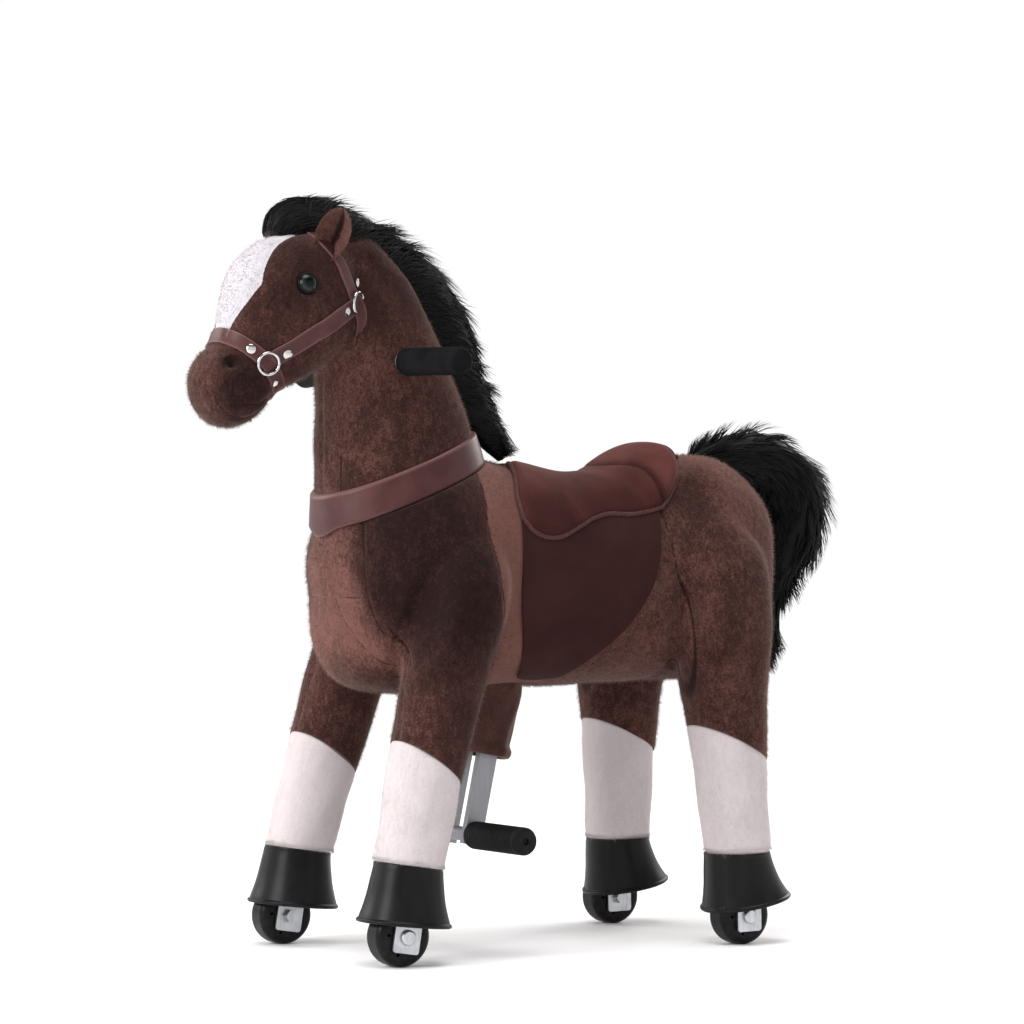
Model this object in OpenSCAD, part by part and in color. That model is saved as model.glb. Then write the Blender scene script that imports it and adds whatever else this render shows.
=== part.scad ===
// Plush ride-on horse on four wheels.
// A steel spine under the saddle carries two pairs of swinging legs, a pair of footpegs on
// sliding stems and a steering post in the neck. Pressing the footpegs down draws the legs
// together through two links, sitting down spreads them, and the front wheels turn with the head.
// X points the way the horse faces, Y to its left and Z up; the floor is Z = 0.

/* [Stance] */
// Distance from the rear axles to the front axles
wheelbase = 390; // [344:2:430]
// Front axles ahead of the middle of the horse
front_axle_x = 207; // [190:1:225]
// Distance across the horse between the wheel middles
track = 238; // [220:2:260]
// Height of the leg pivots above the floor
pivot_height = 385; // [370:1:400]
// Front leg pivot ahead of the middle of the horse
front_pivot_x = 135; // [125:1:145]
// Rear leg pivot behind the middle of the horse
rear_pivot_x = 160; // [150:1:170]
// Distance across the horse between the hubs of a leg pair
hub_track = 136; // [124:2:144]
// Angle by which a pair of legs closes when the footpegs go down
swing_max = 12; // [6:1:13]

/* [Wheels] */
// Diameter of a wheel at its tread
wheel_d = 57; // [50:1:62]
// Width of a wheel
wheel_w = 30; // [24:1:34]
// Radius of a wheel's shoulders
shoulder_r = 8; // [4:0.5:11]
// Diameter of the hub inside a wheel
hub_d = 24; // [20:1:30]
// Amount by which the hub stands out of the wheel's side
hub_proud = 0.8; // [0.4:0.1:1.2]
// Diameter of an axle bolt
axle_d = 8; // [6:0.5:10]
// Diameter of the moulding holes in a wheel's side
wheel_hole_d = 3.4; // [2:0.2:5]
// Number of moulding holes in a wheel's side
wheel_holes = 5; // [3:1:8]

/* [Forks] */
// Width of a fork plate along the horse
fork_w = 28; // [22:1:32]
// Thickness of the fork's sheet steel
fork_t = 2.5; // [2:0.1:3.5]
// Length of a fork plate below the axle
fork_drop = 15; // [11:0.5:20]
// Radius of a fork plate's lower corners
fork_corner_r = 3; // [1:0.5:6]
// Space between a wheel's side and the fork
wheel_gap = 1.5; // [1.2:0.1:3]
// Space between a wheel's tread and the fork
wheel_top_gap = 4; // [2:0.5:8]
// Diameter of a fork's kingpin
king_d = 8; // [6:0.5:10]
// Height of the lock nuts on axles and kingpins
nut_h = 6; // [4:0.5:8]
// Width of the lock nuts across their corners
nut_d = 14; // [12:0.5:16]
// Diameter of an axle bolt's round head
bolt_head_d = 15; // [12:0.5:17]
// Height of an axle bolt's round head
bolt_head_h = 4; // [3:0.5:6]

/* [Leg frames] */
// Outside diameter of a leg tube
leg_tube_d = 26; // [24:1:28]
// Wall of a leg tube
leg_tube_t = 2; // [1.5:0.1:2.5]
// Outside diameter of a leg pivot hub
pivot_hub_d = 30; // [26:1:34]
// Length of a leg pivot hub
pivot_hub_w = 20; // [14:1:24]
// Diameter of the leg pivot pins
pin_d = 12; // [10:0.5:14]
// Diameter of the foot plate at the end of a leg tube
foot_plate_d = 48; // [40:1:52]
// Thickness of the foot plate
foot_plate_t = 6; // [4:0.5:8]
// Angle by which the front feet lean forward
front_foot_tilt = 9; // [4:0.5:12]
// Angle by which the rear feet lean back
rear_foot_tilt = 1; // [0:0.5:6]
// Diameter of the cross tube that joins a leg pair
cross_tube_d = 16; // [14:0.5:18]
// Distance of the front cross tube below the pivot
front_lever = 22; // [22:0.5:24]
// Distance of the rear cross tube below the pivot
rear_lever = 31; // [29:0.5:33]

/* [Spine] */
// Width of the square spine tube
beam_w = 30; // [26:1:34]
// Height of the spine tube
beam_h = 24; // [20:1:30]
// Wall of the spine tube
beam_t = 2.5; // [1.5:0.1:4]
// Outside diameter of the pivot sleeves on the spine
sleeve_d = 26; // [22:1:28]
// Length of the pivot sleeves on the spine
sleeve_l = 60; // [40:1:62]
// Outside diameter of the steering head tube
head_tube_d = 28; // [26:1:34]
// Length of the steering head tube
head_tube_l = 36; // [28:1:40]
// Thickness of the nylon bushes
bush_t = 2; // [1:0.1:3]
// Length of a steering bush
bush_l = 11; // [8:0.5:14]
// Thickness of the seat board
board_t = 8; // [6:0.5:12]
// Length of the seat board
board_l = 112; // [90:1:125]
// Width of the seat board
board_w = 74; // [60:1:78]
// Height of the seat posts above the spine
post_rise = 34; // [24:1:38]
// Diameter of the seat posts
seat_post_d = 16; // [12:1:20]

/* [Steering] */
// Angle by which the steering axis leans forward
steer_rake = 22; // [16:1:26]
// Diameter of the steering post
post_d = 18; // [15:0.5:20]
// Length of the steering post above the collar
post_l = 200; // [180:1:215]
// Distance of the handlebar above the collar along the post
bar_rise = 130; // [120:1:145]
// Distance of the handlebar behind the axis of the post
bar_set = 22; // [20:0.5:24]
// Diameter of the handlebar tube
bar_d = 18; // [14:0.5:20]
// Angle by which the handlebar sweeps back
bar_sweep = 2; // [0:1:8]
// Angle by which the handlebar droops
bar_droop = 2; // [0:1:6]
// Diameter of a handlebar grip
grip_d = 27; // [24:1:32]
// Length of a handlebar grip
grip_l = 98; // [85:1:110]
// Distance of a grip from the steering post
grip_start = 62; // [58:1:72]
// Rounding of a grip's outer end
grip_round = 5; // [2:0.5:8]

/* [Footpegs] */
// Footpeg axis ahead of the middle of the horse
peg_x = 70; // [60:1:80]
// Height of the footpeg axis above the floor
peg_height = 112; // [100:1:125]
// Angle by which the stems lean back at the top
stem_rake = 12; // [8:0.5:15]
// Distance across the horse between the stems
stem_track = 48; // [46:1:54]
// Width of a stem along the horse
stem_w = 20; // [16:1:22]
// Thickness of a stem
stem_t = 8; // [6:0.5:9]
// Length of the stems above the guide they slide in
stem_over = 25; // [18:1:30]
// Diameter of a footpeg's rubber grip
peg_d = 33; // [28:1:36]
// Length of a footpeg's rubber grip
peg_l = 98; // [90:1:115]
// Rounding of a footpeg's ends
peg_round = 3; // [1:0.5:5]
// Diameter of the bar inside the footpegs
peg_bar_d = 14; // [12:0.5:18]
// Diameter of the dimple in a footpeg's end
peg_dimple_d = 7; // [4:0.5:10]
// Diameter of the crosshead pin between the stems
crosshead_d = 10; // [8:0.5:12]
// Height of the crosshead pin below the leg pivots
crosshead_drop = 77.4; // [74.5:0.1:79.5]
// Thickness of the link bars
link_t = 4; // [3:0.5:5]
// Height of the link bars
link_h = 14; // [10:1:16]

/* [Plush forms] */
// Height of the body
torso_height = 230; // [222:1:238]
// Width of the body
torso_width = 214; // [208:1:222]
// Thickness of the body's padding
pad = 12; // [8:0.5:14]
// Height of the neck above the leg pivots
neck_rise = 310; // [300:1:325]
// Depth of the neck along the horse
neck_depth = 160; // [150:1:170]
// Width of the neck
neck_width = 125; // [116:1:132]
// Length of the head
head_length = 220; // [205:1:235]
// Depth of the head from forehead to jaw
head_depth = 132; // [122:1:140]
// Width of the head
head_width = 112; // [104:1:120]
// Angle by which the face points down
head_pitch = 51.7; // [46:0.1:56]
// Diameter of a leg at the top of its sock
leg_d = 72; // [68:1:76]
// Distance across the horse between the tops of a leg pair
leg_top_track = 172; // [160:1:184]
// Front leg padding behind the front pivot at the top
front_leg_set = 18; // [10:1:26]
// Rear leg padding behind the rear pivot at the top
rear_leg_set = 20; // [10:1:26]
// Length of the tail
tail_length = 230; // [210:1:250]
// Thickness of the mane and tail
hair_thick = 76; // [60:1:86]
// Height of an ear
ear_h = 58; // [48:1:66]
// Width of an ear
ear_w = 38; // [30:1:44]
// Diameter of an eye
eye_d = 20; // [16:0.5:24]

/* [Hooves and socks] */
// Diameter of a hoof at its lower rim
hoof_base_d = 88; // [82:1:94]
// Diameter of a hoof at its top
hoof_top_d = 66; // [64:1:70]
// Height of a hoof
hoof_h = 53; // [48:1:58]
// Height of a hoof's rim above the axle
hoof_lift = 14; // [10:1:18]
// Wall of a hoof
hoof_wall = 3; // [2:0.5:4]
// Diameter of the hole in a hoof's sole
sole_hole_d = 66; // [64:1:68]
// Diameter of the piped rim of a hoof
piping_d = 6; // [4:0.5:8]
// Drop of the socks' edge below the leg pivots
sock_drop = 193.5; // [182:0.5:206]
// Slope of a sock's edge
sock_slope = 27; // [10:1:35]

/* [Saddle and tack] */
// Thickness of the saddle pad
saddle_t = 9; // [6:0.5:12]
// Height of the cantle above the saddle pad
cantle_rise = 17; // [10:1:22]
// Thickness of the saddle cloth
cloth_t = 2.5; // [1.5:0.1:4]
// Width of the neck collar
collar_w = 32; // [24:1:38]
// Thickness of the neck collar
collar_t = 3; // [2:0.1:4]
// Width of the halter straps
strap_w = 15; // [11:0.5:18]
// Thickness of the halter straps
strap_t = 2.5; // [1.5:0.1:3]
// Diameter of the halter rings
ring_d = 24; // [20:0.5:28]
// Wire of the halter rings
ring_wire = 3; // [2:0.1:4]
// Diameter of a rivet's head
rivet_d = 9; // [7:0.5:11]
// Height of a rivet's head
rivet_h = 2; // [1:0.1:3]
// Depth of the fabric boot around the stems along the horse
boot_depth = 60; // [50:1:66]
// Width of the fabric boot around the stems
boot_width = 78; // [74:1:86]
// Height of the fabric boot's hem above the footpeg axis
boot_lift = 69.5; // [62:0.5:78]
// Thickness of the boot's fabric
boot_t = 3; // [2:0.5:4]
// Diameter of the boot's rolled hem
hem_d = 6; // [4:0.5:8]

/* [Fits] */
// Radial clearance of turning and sliding fits
run_gap = 0.05; // [0.03:0.01:0.1]
// Clearance where padding surrounds a frame piece of its own body
fit_gap = 0.5; // [0.3:0.1:1]
// Clearance between pieces that move past each other
part_gap = 0.6; // [0.4:0.1:1]
// Clearance of the stems in their nylon guides
slide_gap = 0.3; // [0.1:0.05:0.5]
// Play of the links on the crosshead pin
link_play = 2; // [1.5:0.1:2.5]

/* [Hidden] */
$fn = 48;
overrun = 2;
reach = 1000;
form_power_share = 2.2;
body_power_share = 2.3;
body_sides = 18;
limb_sides = 16;
hair_sides = 12;
pivot_span = front_pivot_x + rear_pivot_x;
wheel_r = wheel_d / 2;
fork_in = wheel_w + 2 * wheel_gap;
fork_out = fork_in + 2 * fork_t;
fork_top = wheel_r + wheel_top_gap;
plate_base = fork_top + fork_t + part_gap;
plate_top = plate_base + foot_plate_t;
nut_gap = part_gap / 2;
king_top = plate_top + nut_gap + nut_h;
hoof_top = hoof_lift + hoof_h;
sock_rise = pivot_height - wheel_r - sock_drop;
hub_y = hub_track / 2;
hub_face = hub_y + pivot_hub_w / 2 + part_gap;
drum_share = 0.587;
drum_r = torso_height * drum_share;
stem_y = stem_track / 2;
stem_face = stem_y + stem_t / 2;
link_gap = 4;
front_link_y = stem_face + link_gap;
rear_link_y = front_link_y + link_t + part_gap;
crosshead_l = 2 * (rear_link_y + link_t + overrun);
guide_wall = 5;
gusset_w = 12;
beam_z = pivot_height + beam_h / 4;
beam_top = beam_z + beam_h / 2;
guide_h = beam_h;
guide_mid = (beam_z - peg_height) / cos(stem_rake);
stem_l = guide_mid + guide_h / 2 + stem_over;
board_front = -15;
swing_play = 2;
flange_lip = 4;
flange_d = post_d + 2 * flange_lip;
flange_t = 3;
clamp_l = 30;
clamp_wall = 4;
clamp_d = post_d + 2 * clamp_wall;
link_wall = 3;
eye_hole_d = cross_tube_d + 2 * run_gap;
link_eye_d = cross_tube_d + 2 * link_wall;
link_slot_d = crosshead_d + 2 * link_play;
ear_splay = 29;
ear_lean = 65;

plush = "#4a2b25";
black = "#1c1b1e";
white = "#ebe4e6";
leather = "#6b4038";
suede = "#3f2320";
steel = "#b9bbbd";
dark_steel = "#5d6064";
nylon = "#d9d6cc";

// Shares of the body along the pivot span, then top, bottom and half width
torso_shares = [
    [-0.38, 0.09, -0.09, 0.09], [-0.356, 0.24, -0.29, 0.27], [-0.288, 0.37, -0.41, 0.39],
    [-0.153, 0.448, -0.51, 0.477], [0, 0.426, -0.535, 0.495], [0.203, 0.361, -0.535, 0.477],
    [0.407, 0.343, -0.548, 0.467], [0.61, 0.383, -0.552, 0.472], [0.797, 0.422, -0.557, 0.49],
    [0.983, 0.404, -0.57, 0.505], [1.153, 0.304, -0.552, 0.463], [1.261, 0.152, -0.478, 0.336],
    [1.308, 0, -0.348, 0.187], [1.325, -0.12, -0.226, 0.056]
];
// Shares of the neck's middle line forward and up, then half depth and half width
neck_shares = [
    [-0.023, 0.032, 0.61, 0.7], [0.01, 0.21, 0.54, 0.56], [0.039, 0.371, 0.49, 0.5],
    [0.071, 0.532, 0.43, 0.45], [0.119, 0.694, 0.37, 0.4], [0.194, 0.839, 0.34, 0.33],
    [0.258, 0.935, 0.275, 0.26], [0.3, 0.99, 0.094, 0.1]
];
// Shares of the head along the face, then forehead, jaw and half width
head_shares = [
    [-0.127, 0.06, -0.06, 0.07], [-0.09, 0.19, -0.19, 0.25], [0, 0.36, -0.34, 0.4],
    [0.127, 0.485, -0.455, 0.48], [0.273, 0.5, -0.5, 0.5], [0.409, 0.425, -0.415, 0.437],
    [0.523, 0.34, -0.333, 0.357], [0.6, 0.295, -0.28, 0.32], [0.69, 0.318, -0.295, 0.357],
    [0.782, 0.273, -0.242, 0.34], [0.85, 0.15, -0.136, 0.214], [0.877, 0.04, -0.04, 0.054]
];
// Shares of the tail's middle line forward and up, then half thickness and half width
tail_shares = [
    [-0.2, 0.42, 0.12, 0.16], [-0.326, 0.47, 0.26, 0.32], [-0.478, 0.483, 0.36, 0.42],
    [-0.63, 0.404, 0.45, 0.48], [-0.711, 0.239, 0.49, 0.5], [-0.716, 0.087, 0.44, 0.46],
    [-0.635, -0.074, 0.32, 0.38], [-0.596, -0.239, 0.22, 0.28], [-0.574, -0.413, 0.16, 0.2],
    [-0.565, -0.535, 0.04, 0.05]
];
// Shares of the mane's middle line forward and up, then half thickness and half width
mane_shares = [
    [-0.37, 0.4, 0.05, 0.06], [-0.26, 0.43, 0.24, 0.2], [-0.19, 0.55, 0.38, 0.26],
    [-0.13, 0.71, 0.43, 0.29], [-0.035, 0.845, 0.46, 0.31], [0.105, 0.955, 0.46, 0.34],
    [0.24, 1.03, 0.44, 0.39], [0.37, 1.03, 0.42, 0.42], [0.475, 0.985, 0.28, 0.34],
    [0.515, 0.95, 0.06, 0.1]
];
// Shares of a front leg's height, then half depth and half width
front_leg_shares = [
    [-0.1, 0.06, 0.06], [-0.07, 0.35, 0.3], [0.05, 0.66, 0.56], [0.19, 0.7, 0.61], [0.36, 0.61, 0.56],
    [0.52, 0.53, 0.51], [0.66, 0.5, 0.49], [0.82, 0.47, 0.46], [1, 0.43, 0.43]
];
// Shares of a rear leg's height, then half depth and half width
rear_leg_shares = [
    [-0.16, 0.06, 0.06], [-0.12, 0.5, 0.32], [0.03, 0.9, 0.6], [0.19, 0.92, 0.66], [0.36, 0.75, 0.61],
    [0.52, 0.57, 0.54], [0.66, 0.5, 0.5], [0.82, 0.46, 0.46], [1, 0.42, 0.42]
];
// Shares of an ear's height, then half thickness and half width
ear_shares = [
    [0, 0.17, 0.3], [0.2, 0.18, 0.46], [0.45, 0.15, 0.5], [0.75, 0.11, 0.34], [0.93, 0.06, 0.14],
    [1, 0.02, 0.03]
];
// Shares of the saddle's side outline along the pivot span and up the body
saddle_shares = [
    [0.637, 0.383], [0.736, 0.265], [0.732, 0.157], [0.69, 0.1], [0.647, 0.087], [0.59, 0.097],
    [0.539, 0.12], [0.444, 0.17], [0.322, 0.191], [0.173, 0.187], [0.098, 0.248],
    [-0.017, 0.348], [-0.108, 0.457], [-0.108, 0.8], [0.593, 0.8]
];
// Shares of the saddle cloth's side outline along the pivot span and up the body
cloth_shares = [
    [0.739, 0.2], [0.753, -0.183], [0.712, -0.37], [0.668, -0.509], [0.508, -0.509],
    [0.427, -0.417], [0.339, -0.317], [0.237, -0.165], [0.203, -0.013], [0.176, 0.204]
];
seat_post_shares = [0.2, 0.8];
belly_share = 0.5;
cantle_x_share = 0.03;
cantle_half_share = 0.24;
collar_forward_share = 0.01;
collar_up_share = 0.2;
head_forward_share = 0.3;
head_up_share = 0.913;
eye_shares = [0.194, 0.14];
eye_sink_share = 0.3;
ear_base_shares = [0.0436, 0.1167, 0.393];
// Ends of the halter straps along the face and across it, as shares of the head
nose_strap_shares = [[0.568, 0.6], [0.568, -0.1], [0.61, -0.6]];
cheek_strap_shares = [[0.564, -0.01], [0.09, -0.265]];
crown_strap_shares = [[0.09, -0.265], [-0.07, 0.3]];
throat_strap_shares = [[0.09, -0.265], [0.24, -0.6]];
// Rings and rivets along the face and across it, as shares of the head
ring_shares = [[0.565, -0.01], [0.095, -0.265]];
rivet_shares = [[0.563, 0.14], [0.48, -0.075], [0.163, -0.238], [0.02, -0.19], [0.6, -0.16]];

// Points between the rows of a hand-drawn table, on a smooth curve through them
function curve(t, a, b, c, d) =
    (2 * b + (c - a) * t + (2 * a - 5 * b + 4 * c - d) * t * t + (3 * b - a - 3 * c + d) * t * t * t) / 2;
function smooth_rows(rows, steps = 2) = [
    for (i = [0 : len(rows) - 2], j = [0 : steps - 1])
        curve(j / steps, rows[max(i - 1, 0)], rows[i], rows[i + 1], rows[min(i + 2, len(rows) - 1)]),
    rows[len(rows) - 1]
];
function rounded(v, power) = sign(v) * pow(abs(v), 2 / power);
function ring(c, u, v, power, sides) = [
    for (k = [0 : sides - 1])
        c + u * rounded(cos(360 * k / sides), power) + v * rounded(sin(360 * k / sides), power)
];
function scaled(rows, sizes) = [for (r = rows) [for (i = [0 : len(sizes) - 1]) r[i] * sizes[i]]];

// Rings across the X axis, from rows of place, top, bottom and half width
function level_rings(rows, grow, power, sides) = [
    for (r = rows)
        ring([r[0], 0, (r[1] + r[2]) / 2], [0, r[3] + grow, 0], [0, 0, (r[1] - r[2]) / 2 + grow],
            power, sides)
];
// Rings across a middle line in the XZ plane, from rows of X, Z, half depth and half width
function path_rings(rows, grow, power, sides) = [
    for (i = [0 : len(rows) - 1])
        let (d = rows[min(i + 1, len(rows) - 1)] - rows[max(i - 1, 0)],
             n = [-d[1], 0, d[0]] / norm([d[0], d[1]]))
        ring([rows[i][0], 0, rows[i][1]], [0, rows[i][3] + grow, 0], n * (rows[i][2] + grow), power, sides)
];

// Closed skin over a list of rings
module loft(rings) {
    m = len(rings);
    n = len(rings[0]);
    points = [for (r = rings) each r];
    sides = [
        for (i = [0 : m - 2], k = [0 : n - 1])
            let (a = i * n + k, b = i * n + (k + 1) % n)
            each [[a, a + n, b + n], [a, b + n, b]]
    ];
    first = [for (k = [0 : n - 1]) k];
    last = [for (k = [0 : n - 1]) m * n - 1 - k];
    polyhedron(points, concat(sides, [first, last]));
}

// Round bar between two points
module rod(p, q, d) {
    v = q - p;
    translate(p) rotate([0, acos(v.z / norm(v)), atan2(v.y, v.x)]) cylinder(h = norm(v), d = d);
}

// Round bar across the horse, centred on its middle plane
module cross_bar(x, z, l, d, y = 0) {
    translate([x, y, z]) rotate([90, 0, 0]) cylinder(h = l, d = d, center = true);
}

// Flat outline in the XZ plane, extruded evenly across the horse
module side_prism(points, w) {
    rotate([90, 0, 0]) linear_extrude(w, center = true) polygon(points);
}

// Hexagon nut with a round hole, standing on Z = 0
module lock_nut(d, h, hole) {
    difference() {
        cylinder(h = h, d = d, $fn = 6);
        translate([0, 0, -overrun]) cylinder(h = h + 2 * overrun, d = hole);
    }
}

function pivot_x(rear) = rear ? -rear_pivot_x : front_pivot_x;
function lever(rear) = rear ? rear_lever : front_lever;
function axle_x(rear) = rear ? front_axle_x - wheelbase : front_axle_x;
function foot_tilt(rear) = rear ? rear_foot_tilt : -front_foot_tilt;
function foot_up(rear) = [sin(foot_tilt(rear)), 0, cos(foot_tilt(rear))];
function axle(rear, side) = [axle_x(rear), side * track / 2, wheel_r];
function ankle(rear, side) = axle(rear, side) + foot_up(rear) * (plate_base + plate_top) / 2;
function hip(rear, side) = [pivot_x(rear), side * hub_y, pivot_height];
function leg_top(rear, side) = hip(rear, side)
    + [rear ? -rear_leg_set : -front_leg_set, side * (leg_top_track - hub_track) / 2, 0];
function leg_foot(rear, side) = axle(rear, side) + foot_up(rear) * (hoof_top - overrun);
// Turn of a leg pair about Y towards the other pair
function close_turn(rear, angle) = rear ? -angle : angle;
function lever_end(rear) =
    let (v = ankle(rear, 1) - hip(rear, 1))
    [pivot_x(rear), 0, pivot_height] + [v.x, 0, v.z] * lever(rear) / norm([v.x, v.z]);

module at_foot(rear, side) {
    translate(axle(rear, side)) rotate([0, foot_tilt(rear), 0]) children();
}

collar_point = [front_pivot_x + collar_forward_share * neck_rise, 0,
    pivot_height + collar_up_share * neck_rise];
function collar_flat(drop) =
    [collar_point.x - sin(steer_rake) * drop, collar_point.z - cos(steer_rake) * drop];
module at_collar() {
    translate(collar_point) rotate([0, steer_rake, 0]) children();
}
module above_collar(start) {
    at_collar() translate([-reach, -reach, start]) cube([2 * reach, 2 * reach, reach]);
}
module at_stems() {
    translate([peg_x, 0, peg_height]) rotate([0, -stem_rake, 0]) children();
}
crosshead = [peg_x - tan(stem_rake) * (pivot_height - crosshead_drop - peg_height), 0,
    pivot_height - crosshead_drop];
module at_head() {
    translate([front_pivot_x + head_forward_share * neck_rise, 0, pivot_height + head_up_share * neck_rise])
        rotate([0, head_pitch, 0]) children();
}

// Body form, let out by a thickness
function torso_rows() = [
    for (r = smooth_rows(torso_shares))
        [r[0] * pivot_span - rear_pivot_x, r[1] * torso_height + pivot_height,
            r[2] * torso_height + pivot_height, r[3] * torso_width]
];
module torso_form(grow = 0) {
    loft(level_rings(torso_rows(), grow, body_power_share, body_sides));
}
module neck_form(grow = 0) {
    rows = [
        for (r = smooth_rows(neck_shares))
            [front_pivot_x + r[0] * neck_rise, pivot_height + r[1] * neck_rise, r[2] * neck_depth,
                r[3] * neck_width]
    ];
    loft(path_rings(rows, grow, form_power_share, body_sides));
}
function head_rows() = scaled(smooth_rows(head_shares), [head_length, head_depth, head_depth, head_width]);
module head_form(grow = 0) {
    at_head() loft(level_rings(head_rows(), grow, form_power_share, body_sides));
}
module mane_form() {
    rows = [
        for (r = smooth_rows(mane_shares))
            [front_pivot_x + r[0] * neck_rise, pivot_height + r[1] * neck_rise, r[2] * hair_thick,
                r[3] * hair_thick]
    ];
    loft(path_rings(rows, 0, form_power_share, hair_sides));
}
module leg_form(rear, side) {
    p = leg_top(rear, side);
    q = leg_foot(rear, side);
    loft([
        for (r = smooth_rows(rear ? rear_leg_shares : front_leg_shares))
            ring(p + (q - p) * r[0], [r[1] * leg_d, 0, 0], [0, -r[2] * leg_d, 0],
                form_power_share, limb_sides)
    ]);
}
module leg_tube_space(rear, side, grow) {
    rod(hip(rear, side), ankle(rear, side), leg_tube_d + 2 * grow);
}
// Drum about a leg pivot, whose skin parts the legs from the body
module swing_drum(rear, grow) {
    cross_bar(pivot_x(rear), pivot_height, torso_width + leg_top_track, 2 * (drum_r + grow));
}
module below_sock_edge(rear, side) {
    at_foot(rear, side) translate([0, 0, sock_rise]) rotate([0, -sock_slope, 0])
        translate([-reach, -reach, -2 * reach]) cube(2 * reach);
}
module above_hoof(rear, side) {
    at_foot(rear, side) translate([-reach, -reach, hoof_top]) cube(2 * reach);
}
module boot_form(grow, top) {
    at_stems() loft([
        for (t = [0 : 0.5 : 1])
            ring([0, 0, belly_rise - boot_l + t * (boot_l + top)], [boot_depth / 2 + grow, 0, 0],
                [0, boot_width / 2 + grow, 0], form_power_share, body_sides)
    ]);
}
belly_rise = (pivot_height - torso_height * belly_share - peg_height) / cos(stem_rake);
boot_l = belly_rise - boot_lift;

// Spine with its pivot sleeves, steering head tube, stem guide and seat posts
module seat_beam() {
    color(dark_steel) difference() {
        union() {
            translate([-rear_pivot_x, -beam_w / 2, beam_z - beam_h / 2]) cube([pivot_span, beam_w, beam_h]);
            for (rear = [false, true])
                cross_bar(pivot_x(rear), pivot_height, sleeve_l, sleeve_d);
            at_collar() translate([0, 0, -head_tube_l]) cylinder(h = head_tube_l, d = head_tube_d);
            side_prism([collar_flat(0), collar_flat(head_tube_l), [front_pivot_x, pivot_height],
                [front_pivot_x - 2 * head_tube_l, beam_z]], gusset_w);
            guide_block();
            for (share = seat_post_shares)
                translate([board_front - board_l * share, 0, beam_z])
                    cylinder(h = beam_top - beam_z + post_rise, d = seat_post_d);
        }
        translate([-rear_pivot_x - overrun, -beam_w / 2 + beam_t, beam_z - beam_h / 2 + beam_t])
            cube([pivot_span - head_tube_l, beam_w - 2 * beam_t, beam_h - 2 * beam_t]);
        for (rear = [false, true])
            cross_bar(pivot_x(rear), pivot_height, sleeve_l + 2 * overrun, pin_d + 2 * run_gap);
        at_collar() translate([0, 0, -head_tube_l - overrun])
            cylinder(h = head_tube_l + 2 * overrun, d = post_d + 2 * bush_t);
        for (side = [-1, 1])
            stem_slot(side, bush_t + slide_gap, reach);
    }
}
module guide_block() {
    at_stems() translate([0, 0, guide_mid])
        cube([stem_w + 2 * (bush_t + guide_wall), stem_track + stem_t + 2 * (bush_t + guide_wall), guide_h],
            center = true);
}
module stem_slot(side, grow, h) {
    at_stems() translate([0, side * stem_y, guide_mid])
        cube([stem_w + 2 * grow, stem_t + 2 * grow, h], center = true);
}

// Bolts that the two leg pairs swing on
module pivot_pins() {
    color(steel) for (rear = [false, true]) {
        cross_bar(pivot_x(rear), pivot_height, 2 * (hub_face + nut_h), pin_d);
        cross_bar(pivot_x(rear), pivot_height, nut_h / 2, bolt_head_d + nut_h, y = hub_face + nut_h / 2);
    }
}
module pivot_nuts() {
    color(steel) for (rear = [false, true])
        translate([pivot_x(rear), -hub_face, pivot_height]) rotate([90, 0, 0])
            lock_nut(bolt_head_d + nut_h, nut_h, pin_d);
}

// Nylon liners that the footpeg stems slide in
module pedal_guides() {
    color(nylon) for (side = [-1, 1]) difference() {
        stem_slot(side, bush_t + slide_gap, guide_h);
        stem_slot(side, slide_gap, guide_h + 2 * overrun);
    }
}

// Nylon bushes in the steering head tube
module head_bushes() {
    color(nylon) at_collar() for (z = [-head_tube_l, -bush_l]) translate([0, 0, z]) difference() {
        cylinder(h = bush_l, d = post_d + 2 * bush_t);
        translate([0, 0, -overrun]) cylinder(h = bush_l + 2 * overrun, d = post_d + 2 * run_gap);
    }
}

module seat_board() {
    color("#b08d5b") board_form(0);
}
module board_form(grow) {
    translate([board_front - board_l - grow, -board_w / 2 - grow, beam_top + post_rise - grow])
        cube([board_l + 2 * grow, board_w + 2 * grow, board_t + 2 * grow]);
}

// Padded body, hollow for the mechanism
module torso() {
    color(plush) difference() {
        torso_form();
        torso_cavity();
        above_collar(0);
        head_tube_space();
        boot_form(-boot_t, boot_l);
        for (rear = [false, true]) {
            pin_space(rear);
            for (side = [-1, 1]) swing_slot(rear, side);
        }
        board_form(part_gap);
    }
}
// Room round a pivot bolt, its nut and the hubs on it
module pin_space(rear) {
    cross_bar(pivot_x(rear), pivot_height, 2 * (hub_face + nut_h + part_gap), pivot_hub_d + 2 * part_gap);
}
// The body form drawn in by the padding, without its narrow ends
module torso_cavity() {
    rows = [for (r = torso_rows()) if (r[3] > 5 * pad) r];
    loft(level_rings(rows, -pad, body_power_share, body_sides));
}
module head_tube_space() {
    at_collar() translate([0, 0, -head_tube_l * 2]) cylinder(h = head_tube_l * 3, d = head_tube_d + pad);
}
// Flat-sided slot that a leg tube swings in
module swing_slot(rear, side) {
    open = close_turn(rear, -swing_play);
    closed = close_turn(rear, swing_max + swing_play);
    w = (leg_tube_d / 2 + overrun) * (rear ? -1 : 1);
    l = drum_r + leg_tube_d;
    inner = hub_y - leg_tube_d / 2 - overrun;
    outer = drum_y + leg_tube_d / 2 + overrun;
    translate([pivot_x(rear), side * (inner + outer) / 2, pivot_height]) side_prism([
        tube_point(rear, open, 0, w), tube_point(rear, open, l, w), tube_point(rear, closed, l, -w),
        tube_point(rear, closed, 0, -w)
    ], outer - inner);
}
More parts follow.
